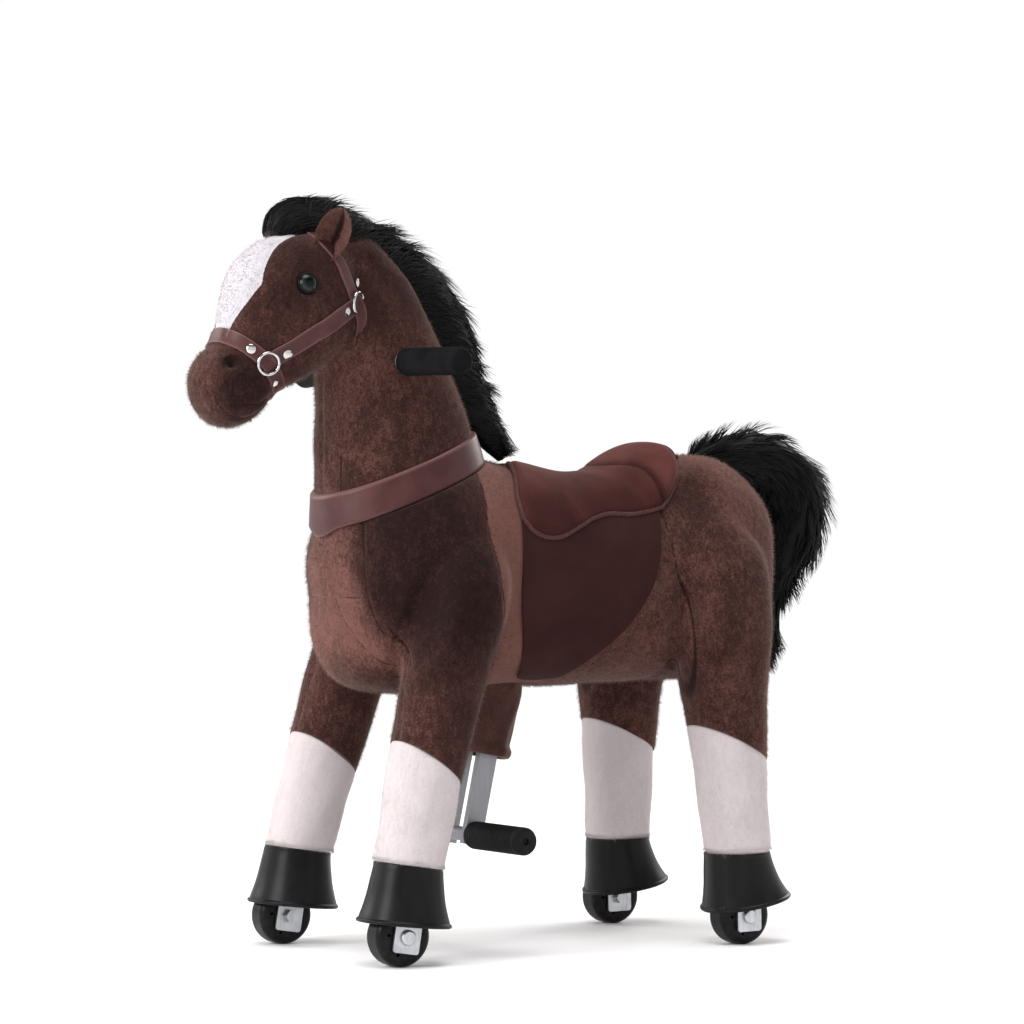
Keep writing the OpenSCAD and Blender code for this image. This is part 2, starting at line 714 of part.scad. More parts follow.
// Point beside a leg tube turned about its pivot, from its distance down the tube and off it
function tube_point(rear, turn, down, off) =
    let (v = ankle(rear, 1) - hip(rear, 1), way = [v.x, v.z] / norm([v.x, v.z]),
         turned = [way[0] * cos(turn) + way[1] * sin(turn), way[1] * cos(turn) - way[0] * sin(turn)])
    turned * down + [-turned[1], turned[0]] * off;
drum_y = hub_y + (track / 2 - hub_y) * drum_r / (pivot_height - wheel_d);

// Upper legs that stay with the body, down to the drum that parts them from the legs
module leg_tops(rear) {
    color(plush) difference() {
        for (side = [-1, 1]) intersection() {
            leg_form(rear, side);
            swing_drum(rear, 0);
        }
        torso_form();
        for (side = [-1, 1]) swing_slot(rear, side);
    }
}
module front_shoulders() leg_tops(false);
module rear_hips() leg_tops(true);

// Saddle pad with its raised cantle, wrapped over the back
function cantle_bell(x) =
    let (t = ((x + rear_pivot_x) / pivot_span - cantle_x_share) / cantle_half_share)
    abs(t) < 1 ? pow(cos(90 * t), 2) : 0;
module saddle_form() {
    rows = [
        for (r = torso_rows())
            [r[0], r[1] + cantle_rise * cantle_bell(r[0]), r[2], r[3]]
    ];
    loft(level_rings(rows, saddle_t, body_power_share, body_sides));
}
function side_outline(shares) =
    [for (p = shares) [p[0] * pivot_span - rear_pivot_x, p[1] * torso_height + pivot_height]];
module saddle() {
    color(leather) difference() {
        intersection() {
            saddle_form();
            side_prism(side_outline(saddle_shares), torso_width + 4 * saddle_t);
        }
        torso_form();
        above_collar(-overrun);
    }
}

// Suede panels below the saddle
module saddle_cloth() {
    color(suede) difference() {
        intersection() {
            torso_form(cloth_t);
            side_prism(side_outline(cloth_shares), torso_width + 4 * saddle_t);
        }
        torso_form();
        side_prism(side_outline(saddle_shares), torso_width + 4 * saddle_t);
    }
}

// Fabric boot round the stems under the belly, with a rolled hem
module belly_boot() {
    color(leather) difference() {
        union() {
            boot_form(0, 0);
            at_stems() loft([
                for (t = [0 : 45 : 180])
                    ring([0, 0, belly_rise - boot_l + hem_d * (1 - cos(t)) / 2],
                        [boot_depth / 2 + hem_d * sin(t) / 3, 0, 0],
                        [0, boot_width / 2 + hem_d * sin(t) / 3, 0], form_power_share, body_sides)
            ]);
        }
        boot_form(-boot_t, boot_l);
        at_stems() translate([-boot_depth, -boot_width, belly_rise - boot_l - overrun])
            cube([2 * boot_depth, 2 * boot_width, overrun]);
        torso_form();
    }
}

module tail() {
    rows = [
        for (r = smooth_rows(tail_shares))
            [r[0] * tail_length - rear_pivot_x, r[1] * tail_length + pivot_height, r[2] * hair_thick,
                r[3] * hair_thick]
    ];
    color(black) difference() {
        loft(path_rings(rows, 0, form_power_share, hair_sides));
        torso_form();
    }
}

// Steel frame of a leg pair: hubs, leg tubes, cross tube and foot plates
module leg_frame(rear) {
    difference() {
        union() {
            for (side = [-1, 1]) {
                cross_bar(pivot_x(rear), pivot_height, pivot_hub_w, pivot_hub_d, y = side * hub_y);
                difference() {
                    leg_tube_space(rear, side, 0);
                    leg_bore(rear, side);
                }
                at_foot(rear, side) translate([0, 0, plate_base])
                    cylinder(h = foot_plate_t, d = foot_plate_d);
            }
            cross_bar(lever_end(rear).x, lever_end(rear).z, hub_track, cross_tube_d);
        }
        for (side = [-1, 1])
            at_foot(rear, side) translate([0, 0, plate_base - overrun])
                cylinder(h = foot_plate_t + 2 * overrun, d = king_d + 2 * run_gap);
        cross_bar(pivot_x(rear), pivot_height, 2 * hub_face, pin_d + 2 * run_gap);
        for (side = [-1, 1])
            cross_bar(pivot_x(rear), pivot_height, pivot_hub_w, bolt_head_d + nut_h + 2 * part_gap,
                y = side * (hub_face - part_gap / 2 + pivot_hub_w / 2));
    }
}
module leg_bore(rear, side) {
    p = hip(rear, side);
    q = ankle(rear, side);
    way = (q - p) / norm(q - p);
    rod(p + way * 2 * pivot_hub_d, q + way * overrun, leg_tube_d - 2 * leg_tube_t);
}
module front_leg_frame() {
    color(dark_steel) leg_frame(false);
}
module rear_leg_frame() {
    color(dark_steel) leg_frame(true);
}

// Plush of a leg between the body and its sock
module leg(rear, side) {
    color(plush) difference() {
        leg_form(rear, side);
        swing_drum(rear, part_gap);
        below_sock_edge(rear, side);
        leg_tube_space(rear, side, fit_gap);
    }
}
module front_left_leg() leg(false, 1);
module front_right_leg() leg(false, -1);
module rear_left_leg() leg(true, 1);
module rear_right_leg() leg(true, -1);

module sock(rear, side) {
    color(white) difference() {
        intersection() {
            leg_form(rear, side);
            below_sock_edge(rear, side);
            above_hoof(rear, side);
        }
        leg_tube_space(rear, side, fit_gap);
    }
}
module front_left_sock() sock(false, 1);
module front_right_sock() sock(false, -1);
module rear_left_sock() sock(true, 1);
module rear_right_sock() sock(true, -1);

// Flared hoof with a piped rim, a ring sole, a lid under the sock and a web on the foot plate
module hoof(rear, side) {
    base_r = hoof_base_d / 2;
    top_r = hoof_top_d / 2;
    hole_r = leg_tube_d / 2 + overrun;
    web_r = base_r + (top_r - base_r) * (plate_top - hoof_lift) / hoof_h - hoof_wall / 2;
    color(black) difference() {
        at_foot(rear, side) rotate_extrude() {
            polygon([
                [base_r - hoof_wall, hoof_lift], [base_r, hoof_lift], [top_r, hoof_top], [hole_r, hoof_top],
                [hole_r, hoof_top - hoof_wall], [top_r - hoof_wall, hoof_top - hoof_wall]
            ]);
            translate([base_r - hoof_wall / 2, hoof_lift]) circle(d = piping_d);
            translate([hole_r, plate_top]) square([web_r - hole_r, hoof_wall]);
            translate([sole_hole_d / 2, hoof_lift - hoof_wall / 2])
                square([base_r - hoof_wall / 2 - sole_hole_d / 2, hoof_wall]);
        }
        leg_tube_space(rear, side, fit_gap);
    }
}
module front_left_hoof() hoof(false, 1);
module front_right_hoof() hoof(false, -1);
module rear_left_hoof() hoof(true, 1);
module rear_right_hoof() hoof(true, -1);

// Pressed fork with its kingpin
module fork_plate_outline() {
    translate([-fork_w / 2, fork_corner_r - fork_drop])
        square([fork_w, fork_drop + fork_top + fork_t - fork_corner_r]);
    translate([fork_corner_r - fork_w / 2, -fork_drop])
        square([fork_w - 2 * fork_corner_r, fork_corner_r]);
    for (end = [-1, 1])
        translate([end * (fork_w / 2 - fork_corner_r), fork_corner_r - fork_drop]) circle(r = fork_corner_r);
}
module fork(rear, side) {
    color(steel) at_foot(rear, side) difference() {
        union() {
            for (y = [-fork_in / 2, fork_out / 2])
                translate([0, y, 0]) rotate([90, 0, 0]) linear_extrude(fork_t) fork_plate_outline();
            translate([-fork_w / 2, -fork_out / 2, fork_top]) cube([fork_w, fork_out, fork_t]);
            translate([0, 0, fork_top]) cylinder(h = king_top - fork_top, d = king_d);
        }
        rotate([90, 0, 0]) cylinder(h = fork_out + 2 * overrun, d = axle_d, center = true);
    }
}
module front_left_fork() fork(false, 1);
module front_right_fork() fork(false, -1);
module rear_left_fork() fork(true, 1);
module rear_right_fork() fork(true, -1);

// Lock nut on the kingpin, and axle bolt with a round head outside and a lock nut inside
module fork_bolts(rear, side) {
    color(steel) at_foot(rear, side) translate([0, 0, plate_top + nut_gap]) lock_nut(nut_d, nut_h, king_d);
    color(steel) at_foot(rear, side) rotate([-90 * side, 0, 0]) {
        translate([0, 0, -fork_out / 2 - nut_h]) cylinder(h = fork_out + nut_h, d = axle_d);
        translate([0, 0, -fork_out / 2 - nut_h]) cylinder(h = nut_h, d = nut_d, $fn = 6);
        translate([0, 0, fork_out / 2]) rotate_extrude() {
            square([bolt_head_d / 2 - bolt_head_h / 2, bolt_head_h]);
            square([bolt_head_d / 2, bolt_head_h / 2]);
            translate([bolt_head_d / 2 - bolt_head_h / 2, bolt_head_h / 2]) circle(r = bolt_head_h / 2);
        }
    }
}
module front_left_bolts() fork_bolts(false, 1);
module front_right_bolts() fork_bolts(false, -1);
module rear_fork_bolts() {
    for (side = [-1, 1]) fork_bolts(true, side);
}

// Barrel wheel with rounded shoulders on a nylon hub
module tyre(rear, side) {
    core = wheel_w / 2 - shoulder_r;
    color(black) at_foot(rear, side) rotate([90, 0, 0]) difference() {
        rotate_extrude() {
            translate([hub_d / 2, -wheel_w / 2]) square([wheel_r - shoulder_r - hub_d / 2, wheel_w]);
            translate([hub_d / 2, -core]) square([wheel_r - hub_d / 2, 2 * core]);
            for (end = [-1, 1])
                translate([wheel_r - shoulder_r, end * core]) circle(r = shoulder_r);
        }
        for (k = [0 : wheel_holes - 1])
            rotate(360 * k / wheel_holes) translate([(hub_d / 2 + wheel_r - shoulder_r / 2) / 2, 0])
                cylinder(h = wheel_w + 2 * overrun, d = wheel_hole_d, center = true);
    }
}
module hub(rear, side) {
    color(nylon) at_foot(rear, side) rotate([90, 0, 0]) difference() {
        cylinder(h = wheel_w + 2 * hub_proud, d = hub_d, center = true);
        cylinder(h = wheel_w + 2 * hub_proud + 2 * overrun, d = axle_d + 2 * run_gap, center = true);
    }
}
module front_left_tyre() tyre(false, 1);
module front_right_tyre() tyre(false, -1);
module rear_left_tyre() tyre(true, 1);
module rear_right_tyre() tyre(true, -1);
module front_left_hub() hub(false, 1);
module front_right_hub() hub(false, -1);
module rear_left_hub() hub(true, 1);
module rear_right_hub() hub(true, -1);

// Steering post with the flange that carries the head
module steering_post() {
    color(steel) at_collar() {
        translate([0, 0, -head_tube_l]) cylinder(h = head_tube_l + post_l, d = post_d);
        translate([0, 0, part_gap]) cylinder(h = flange_t, d = flange_d);
    }
}
bar_point = collar_point + [sin(steer_rake), 0, cos(steer_rake)] * bar_rise
    + [-cos(steer_rake), 0, sin(steer_rake)] * bar_set;
function bar_way(side) =
    [-sin(bar_sweep) * cos(bar_droop), side * cos(bar_sweep) * cos(bar_droop), -sin(bar_droop)];
module handlebar() {
    color(dark_steel) difference() {
        union() {
            for (side = [-1, 1])
                rod(bar_point, bar_point + bar_way(side) * (grip_start + grip_l - 2 * grip_round), bar_d);
            at_collar() translate([0, 0, bar_rise - clamp_l / 2]) cylinder(h = clamp_l, d = clamp_d);
        }
        at_collar() cylinder(h = post_l, d = post_d);
    }
}
module at_grip(side) {
    translate(bar_point + bar_way(side) * grip_start)
        rotate([0, 90 + bar_droop, atan2(bar_way(side).y, bar_way(side).x)]) children();
}
module grip(side) {
    color(black) at_grip(side) difference() {
        rotate_extrude() {
            square([grip_d / 2, grip_l - grip_round]);
            square([grip_d / 2 - grip_round, grip_l]);
            translate([grip_d / 2 - grip_round, grip_l - grip_round]) circle(r = grip_round);
        }
        translate([0, 0, -overrun]) cylinder(h = grip_l - 2 * grip_round + overrun, d = bar_d);
    }
}
module grip_left() grip(1);
module grip_right() grip(-1);

// Plush neck and head over the post and handlebar
module neck() {
    color(plush) difference() {
        neck_form();
        below_collar();
        at_collar() cylinder(h = post_l + fit_gap, d = post_d + 2 * fit_gap);
        at_collar() cylinder(h = part_gap + flange_t + fit_gap, d = flange_d + 2 * fit_gap);
        at_collar() translate([0, 0, bar_rise - clamp_l / 2 - fit_gap])
            cylinder(h = clamp_l + 2 * fit_gap, d = clamp_d + 2 * fit_gap);
        for (side = [-1, 1])
            rod(bar_point, bar_point + bar_way(side) * (grip_start + grip_l), bar_d + 2 * fit_gap);
        for (side = [-1, 1]) {
            for (share = ring_shares) on_head(share, side, strap_t)
                cylinder(h = 2 * ring_d, d = ring_d + 2 * part_gap);
            for (share = rivet_shares) on_head(share, side, 0)
                cylinder(h = 2 * ring_d, d = rivet_d + 2 * part_gap);
        }
    }
}
module below_collar() {
    at_collar() translate([-reach, -reach, part_gap - 2 * reach]) cube(2 * reach);
}
module head() {
    color(plush) difference() {
        head_form();
        neck_form();
        eyes();
    }
}

// Half width of the head at a place on its side, in head coordinates
function row_at(rows, x) =
    let (i = max([for (k = [0 : len(rows) - 2]) rows[k][0] <= x ? k : 0]),
         t = (x - rows[i][0]) / (rows[i + 1][0] - rows[i][0]))
    rows[i] + (rows[i + 1] - rows[i]) * t;
function head_side(x, z) =
    let (r = row_at(head_rows(), x), h = (r[1] - r[2]) / 2, s = abs((z - (r[1] + r[2]) / 2) / h))
    r[3] * pow(1 - pow(min(s, 1), form_power_share), 1 / form_power_share);
function head_place(share) = [share[0] * head_length, share[1] * head_depth];
// Puts a flat piece on the side of the head, its Z axis square to the surface
module on_head(share, side, lift) {
    p = head_place(share);
    e = overrun;
    slope_x = (head_side(p[0] + e, p[1]) - head_side(p[0] - e, p[1])) / (2 * e);
    slope_z = (head_side(p[0], p[1] + e) - head_side(p[0], p[1] - e)) / (2 * e);
    n = [-slope_x, side, -slope_z] / norm([slope_x, 1, slope_z]);
    at_head() translate([p[0], side * head_side(p[0], p[1]), p[1]] + n * lift)
        rotate([0, acos(n.z), atan2(n.y, n.x)]) children();
}

module ears() {
    color(plush) difference() {
        for (side = [-1, 1]) ear_form(side);
        head_form();
        neck_form();
    }
}
module ear_form(side) {
    at_head() translate([ear_base_shares[0] * head_length, side * ear_base_shares[2] * head_width,
        ear_base_shares[1] * head_depth])
        rotate([-side * ear_splay, -ear_lean, 0]) loft([
            for (r = ear_shares)
                ring([0, 0, r[0] * ear_h], [0, r[2] * ear_w, 0], [-r[1] * ear_w, 0, 0],
                    form_power_share, hair_sides)
        ]);
}
module eyes() {
    color("#141412") for (side = [-1, 1])
        on_head(eye_shares, side, -eye_sink_share * eye_d) sphere(d = eye_d);
}
module mane() {
    color(black) difference() {
        mane_form();
        neck_form();
        head_form();
        for (side = [-1, 1]) ear_form(side);
        below_collar();
    }
}

// Halter straps on the head
module strap(shares) {
    at_head() for (i = [0 : len(shares) - 2]) {
        p = head_place(shares[i]);
        q = head_place(shares[i + 1]);
        translate([p[0], 0, p[1]]) rotate([0, -atan2(q[1] - p[1], q[0] - p[0]), 0])
            translate([-strap_w / 2, -head_width, -strap_w / 2])
                cube([norm(q - p) + strap_w, 2 * head_width, strap_w]);
    }
}
module halter() {
    color(leather) difference() {
        intersection() {
            head_form(strap_t);
            union() {
                strap(nose_strap_shares);
                strap(cheek_strap_shares);
                strap(crown_strap_shares);
                strap(throat_strap_shares);
            }
        }
        head_form();
        neck_form();
        mane_form();
        for (side = [-1, 1]) ear_form(side);
        halter_rivets();
    }
}
module halter_rings() {
    color(steel) for (side = [-1, 1], share = ring_shares)
        on_head(share, side, strap_t + ring_wire) rotate_extrude()
            translate([(ring_d - ring_wire) / 2, 0]) circle(d = ring_wire);
}
module halter_rivets() {
    color(steel) for (side = [-1, 1], share = rivet_shares)
        on_head(share, side, strap_t / 2) {
            cylinder(h = strap_t, d = rivet_d / 2);
            translate([0, 0, strap_t / 2 + fit_gap]) rotate_extrude() intersection() {
                square([rivet_d / 2, rivet_h]);
                translate([0, rivet_h - rivet_d]) circle(r = rivet_d);
            }
        }
}

// Leather collar that covers the joint between neck and body
module collar() {
    color(leather) difference() {
        neck_form(collar_t);
        neck_form();
        below_collar();
        above_collar(collar_w);
        mane_form();
    }
}

// Footpeg frame: two flat stems, the peg bar and the crosshead pin
module pedal_frame() {
    color(steel) at_stems() {
        for (side = [-1, 1])
            translate([-stem_w / 2, side * stem_y - stem_t / 2, -stem_w / 2])
                cube([stem_w, stem_t, stem_l + stem_w / 2]);
        rotate([90, 0, 0])
            cylinder(h = 2 * (stem_face + peg_l - peg_round * 2), d = peg_bar_d, center = true);
    }
    color(steel) translate(crosshead) rotate([90, 0, 0])
        cylinder(h = crosshead_l, d = crosshead_d, center = true);
}
module pedal_grips() {
    color(black) at_stems() for (side = [-1, 1])
        translate([0, side * stem_face, 0]) rotate([-90 * side, 0, 0]) difference() {
            rotate_extrude() {
                translate([0, peg_round]) square([peg_d / 2, peg_l - 2 * peg_round]);
                square([peg_d / 2 - peg_round, peg_l]);
                for (z = [peg_round, peg_l - peg_round])
                    translate([peg_d / 2 - peg_round, z]) circle(r = peg_round);
            }
            translate([0, 0, -overrun]) cylinder(h = peg_l - 2 * peg_round + overrun, d = peg_bar_d);
            translate([0, 0, peg_l - peg_round]) cylinder(h = peg_round + overrun, d = peg_dimple_d);
        }
}

// Link bars from a cross tube to the crosshead pin
module links(rear, y) {
    p = lever_end(rear);
    span = norm(crosshead - p);
    color(dark_steel) for (side = [-1, 1])
        translate([p.x, side * (y + link_t / 2), p.z])
            rotate([0, -atan2(crosshead.z - p.z, crosshead.x - p.x), 0]) rotate([90, 0, 0])
                linear_extrude(link_t, center = true) difference() {
                    union() {
                        circle(d = link_eye_d);
                        translate([0, -link_h / 2]) square([span, link_h]);
                        translate([span, 0]) circle(d = link_slot_d + 2 * link_wall);
                    }
                    circle(d = eye_hole_d);
                    translate([span, 0]) circle(d = link_slot_d);
                }
}
module front_links() links(false, front_link_y);
module rear_links() links(true, rear_link_y);

seat_beam();
pivot_pins();
pivot_nuts();
pedal_guides();
head_bushes();
seat_board();
torso();
front_shoulders();
rear_hips();
saddle();
saddle_cloth();
belly_boot();
tail();
front_leg_frame();
front_left_leg();
front_right_leg();
front_left_sock();
front_right_sock();
front_left_hoof();
front_right_hoof();
rear_leg_frame();
rear_left_leg();
rear_right_leg();
rear_left_sock();
rear_right_sock();
rear_left_hoof();
rear_right_hoof();
rear_left_fork();
rear_right_fork();
rear_fork_bolts();
front_left_fork();
front_left_bolts();
front_right_fork();
front_right_bolts();
front_left_tyre();
front_left_hub();
front_right_tyre();
front_right_hub();
rear_left_tyre();
rear_left_hub();
rear_right_tyre();
rear_right_hub();
steering_post();
handlebar();
grip_left();
grip_right();
neck();
head();
ears();
eyes();
mane();
halter();
halter_rings();
halter_rivets();
collar();
pedal_frame();
pedal_grips();
front_links();
rear_links();
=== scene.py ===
import math

import bmesh
import bpy
import numpy as np
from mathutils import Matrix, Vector


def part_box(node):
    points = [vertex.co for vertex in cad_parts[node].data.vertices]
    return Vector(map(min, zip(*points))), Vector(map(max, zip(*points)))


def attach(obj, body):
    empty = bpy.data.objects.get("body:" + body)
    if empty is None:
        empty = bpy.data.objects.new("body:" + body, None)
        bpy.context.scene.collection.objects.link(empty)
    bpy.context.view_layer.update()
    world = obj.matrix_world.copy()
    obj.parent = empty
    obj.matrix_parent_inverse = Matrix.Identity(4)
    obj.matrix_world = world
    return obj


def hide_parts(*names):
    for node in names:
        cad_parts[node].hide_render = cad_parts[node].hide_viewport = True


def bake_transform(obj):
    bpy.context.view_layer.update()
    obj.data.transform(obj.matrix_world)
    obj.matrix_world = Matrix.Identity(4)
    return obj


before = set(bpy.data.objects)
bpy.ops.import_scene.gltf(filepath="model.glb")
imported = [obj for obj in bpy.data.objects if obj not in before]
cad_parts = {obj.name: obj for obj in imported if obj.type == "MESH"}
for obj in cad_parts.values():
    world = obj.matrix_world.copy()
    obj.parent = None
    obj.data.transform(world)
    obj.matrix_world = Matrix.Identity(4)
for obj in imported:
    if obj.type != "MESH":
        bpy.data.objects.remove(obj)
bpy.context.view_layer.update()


# Studio: a pale floor under soft light from above, with softboxes ahead and behind, and a
# long lens low on the horse's left, as the photograph has it.
class Shade:
    """A shader socket in Python sums: every operator adds one Math node to its tree."""

    def __init__(self, tree, socket, material=None):
        self.tree, self.socket, self.material = tree, socket, material

    @classmethod
    def finish(cls, name, constants):
        """Starts a material with these constants on its shader; the result is the place on the piece."""
        material = bpy.data.materials.new(name)
        material.use_nodes = True
        shader = material.node_tree.nodes["Principled BSDF"]
        for key, value in constants.items():
            shader.inputs[key].default_value = value
        start = cls(material.node_tree, None, material)
        return start.node("ShaderNodeTexCoord", out="Object")

    def node(self, kind, settings=(), sockets=(), out=0):
        """Any other node: its type, its settings, then the values or links of its sockets."""
        made = self.tree.nodes.new(kind)
        for key, value in dict(settings).items():
            if key == "stops":
                ramp = made.color_ramp.elements
                while len(ramp) < len(value):
                    ramp.new(1.0)
                for element, (place, colour) in zip(ramp, value):
                    element.position, element.color = place, (*colour, 1)
            else:
                setattr(made, key, value)
        for key, value in dict(sockets).items():
            self.join(made.inputs[key], value)
        return Shade(self.tree, made.outputs[out], self.material)

    def join(self, socket, value):
        if isinstance(value, Shade):
            self.tree.links.new(value.socket, socket)
        else:
            socket.default_value = value

    def surface(self, links):
        """Links sums to the sockets of the material's shader, and gives the finished material."""
        shader = self.tree.nodes["Principled BSDF"]
        for key, value in links.items():
            self.join(shader.inputs[key], value)
        return self.material

    def maths(self, operation, a, b=0.0):
        return self.node("ShaderNodeMath", {"operation": operation}, {0: a, 1: b})

    def __add__(self, other):
        return self.maths("ADD", self, other)

    def __sub__(self, other):
        return self.maths("SUBTRACT", self, other)

    def __rsub__(self, other):
        return self.maths("SUBTRACT", other, self)

    def __mul__(self, other):
        return self.maths("MULTIPLY", self, other)

    __radd__, __rmul__ = __add__, __mul__

    def noise(self, scale, detail=2.0, stretch=(1, 1, 1), twist=0.0):
        """Noise of that many waves to the metre, drawn out along an axis by its stretch."""
        place = self.node("ShaderNodeMapping", {}, {"Vector": self, "Scale": stretch})
        return place.node("ShaderNodeTexNoise", {}, {
            "Vector": place, "Scale": scale, "Detail": detail, "Distortion": twist})

    def ramp(self, *stops):
        return self.node("ShaderNodeValToRGB", {"stops": stops}, {"Fac": self})

    def between(self, low, high):
        """0 below low, 1 above high, smooth between."""
        return self.node("ShaderNodeMapRange", {"interpolation_type": "SMOOTHSTEP"}, {
            "Value": self, "From Min": low, "From Max": high})

    def mix(self, first, second):
        """Colour that goes from first to second as this value goes from 0 to 1."""
        first, second = ((*c, 1) if isinstance(c, tuple) else c for c in (first, second))
        return self.node("ShaderNodeMix", {"data_type": "RGBA"}, {0: self, 6: first, 7: second}, 2)

    def bump(self, strength, distance):
        return self.node("ShaderNodeBump", {}, {
            "Strength": strength, "Distance": distance, "Height": self})

    def painted(self, name):
        return self.node("ShaderNodeAttribute", {"attribute_name": name}, out="Fac")


def shown(name, points, faces, material, body=None):
    """Object at the origin from an array of points and lists of faces, shaded smooth."""
    mesh = bpy.data.meshes.new(name)
    mesh.from_pydata(np.asarray(points, float).tolist(), [], faces)
    made = bpy.data.objects.new(name, mesh)
    bpy.context.scene.collection.objects.link(made)
    mesh.materials.append(material)
    mesh.shade_smooth()
    if body:
        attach(made, body)
    return made


floor_place = Shade.finish("studio_floor", {"Roughness": 0.55, "Specular IOR Level": 0.3})
floor_finish = floor_place.surface({
    "Base Color": floor_place.noise(1.5).ramp((0.3, (0.90, 0.90, 0.90)), (0.7, (0.93, 0.93, 0.93)))})
floor_half = 9.0
floor = shown("studio_floor", [
    (x, y, 0) for x, y in ((-1, -1), (1, -1), (1, 1), (-1, 1))] * np.array((floor_half, floor_half, 1)),
    [[0, 1, 2, 3]], floor_finish)

world = bpy.data.worlds.new("studio_air")
world.use_nodes = True
bpy.context.scene.world = world
air = Shade(world.node_tree, None).node("ShaderNodeTexCoord", out="Generated")
height = air.node("ShaderNodeSeparateXYZ", {}, {0: air}, out="Z")
air.join(world.node_tree.nodes["Background"].inputs["Color"],
         height.between(0.2, 0.75).mix((1.0, 1.0, 1.0), (0.16, 0.16, 0.16)))
bpy.context.scene.view_settings.view_transform = "Standard"


def softbox(name, place, aim, size, power, tint=(1, 1, 1)):
    """Square area light at a place, turned to face its aim."""
    lamp = bpy.data.lights.new(name, "AREA")
    lamp.shape, lamp.size, lamp.energy, lamp.color = "SQUARE", size, power, tint
    made = bpy.data.objects.new(name, lamp)
    bpy.context.scene.collection.objects.link(made)
    made.location = place
    made.rotation_euler = (made.location - Vector(aim)).to_track_quat("Z", "Y").to_euler()


rim_tint = (1.0, 0.95, 0.94)
softbox("front_light", (2.6, 0.3, 1.4), (0.1, 0, 0.4), 1.2, 52)
softbox("rear_rim_light", (-2.2, -0.9, 1.4), (0, 0, 0.45), 1.2, 30, rim_tint)
softbox("face_rim_light", (1.6, -2.2, 1.4), (0.1, 0, 0.5), 1.2, 30, rim_tint)
ceiling = bpy.data.lights.new("ceiling_light", "SUN")
ceiling.energy, ceiling.angle = 2.6, 0.8
ceiling_lamp = bpy.data.objects.new("ceiling_light", ceiling)
bpy.context.scene.collection.objects.link(ceiling_lamp)
ceiling_lamp.rotation_euler = (-0.12, 0.05, 0)

lens = bpy.data.cameras.new("photo_camera")
lens.sensor_width, lens.lens = 36.0, 126.56
camera = bpy.data.objects.new("photo_camera", lens)
bpy.context.scene.collection.objects.link(camera)
camera.location = (1.8706, 3.0814, 0.3889)
camera.rotation_euler = (camera.location - Vector((0.0096, 0, 0.4304))).to_track_quat("Z", "Y").to_euler()
bpy.context.scene.camera = camera


# Frame and mechanism: welded tube and flat bar under the plush, coated grey, with zinc
# plated bolts and forks, steel footpeg stems, nylon bushes and a plywood seat board.
def dress(material, *nodes):
    """Gives CAD nodes that stay as they are their finish."""
    for node in nodes:
        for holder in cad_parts[node].material_slots:
            holder.material = material


coat_place = Shade.finish("grey_coat", {"Roughness": 0.5, "Metallic": 0.0})
coat_grain = coat_place.noise(900, 2)
grey_coat = coat_place.surface({
    "Base Color": coat_place.noise(30, 3).ramp((0.3, (0.1, 0.105, 0.11)), (0.7, (0.16, 0.165, 0.17))),
    "Roughness": 0.4 + coat_grain * 0.2,
    "Normal": coat_grain.bump(0.2, 0.0002)})
dress(grey_coat, "seat_beam", "front_leg_frame", "rear_leg_frame", "handlebar", "front_links", "rear_links")

zinc_place = Shade.finish("zinc_plate", {"Metallic": 1.0})
zinc_cloud = zinc_place.noise(60, 4, twist=0.6)
zinc_brush = zinc_place.noise(420, 3, (1, 1, 0.06))
zinc_plate = zinc_place.surface({
    "Base Color": (zinc_cloud * 0.6 + zinc_brush * 0.4).ramp(
        (0.3, (0.34, 0.35, 0.37)), (0.5, (0.47, 0.48, 0.50)), (0.7, (0.60, 0.61, 0.63))),
    "Roughness": 0.24 + zinc_cloud * 0.22,
    "Normal": zinc_brush.bump(0.12, 0.0002)})
dress(zinc_plate, "pivot_pins", "pivot_nuts", "rear_left_fork", "rear_right_fork", "rear_fork_bolts",
      "front_left_fork", "front_left_bolts", "front_right_fork", "front_right_bolts", "steering_post")

stem_place = Shade.finish("stem_steel", {"Metallic": 0.7})
stem_mill = stem_place.noise(260, 3, (1, 1, 0.05))
stem_steel = stem_place.surface({
    "Base Color": stem_mill.ramp((0.3, (0.245, 0.245, 0.265)), (0.7, (0.285, 0.285, 0.305))),
    "Roughness": 0.42 + stem_mill * 0.16,
    "Normal": stem_mill.bump(0.03, 0.0002)})
dress(stem_steel, "pedal_frame")

nylon_place = Shade.finish("nylon", {"Roughness": 0.45})
nylon = nylon_place.surface({
    "Base Color": nylon_place.noise(80, 3).ramp((0.3, (0.5, 0.49, 0.46)), (0.7, (0.62, 0.61, 0.58))),
    "Normal": nylon_place.noise(1200).bump(0.1, 0.0001)})
dress(nylon, "pedal_guides", "head_bushes", "front_left_hub", "front_right_hub", "rear_left_hub",
      "rear_right_hub")

ply_place = Shade.finish("plywood", {"Roughness": 0.6})
plywood = ply_place.surface({
    "Base Color": ply_place.noise(25, 5, (0.15, 1, 1), 1.5).ramp(
        (0.3, (0.36, 0.24, 0.13)), (0.6, (0.52, 0.37, 0.21)), (0.8, (0.6, 0.45, 0.27))),
    "Normal": ply_place.noise(300, 4, (0.1, 1, 1)).bump(0.2, 0.0003)})
dress(plywood, "seat_board")
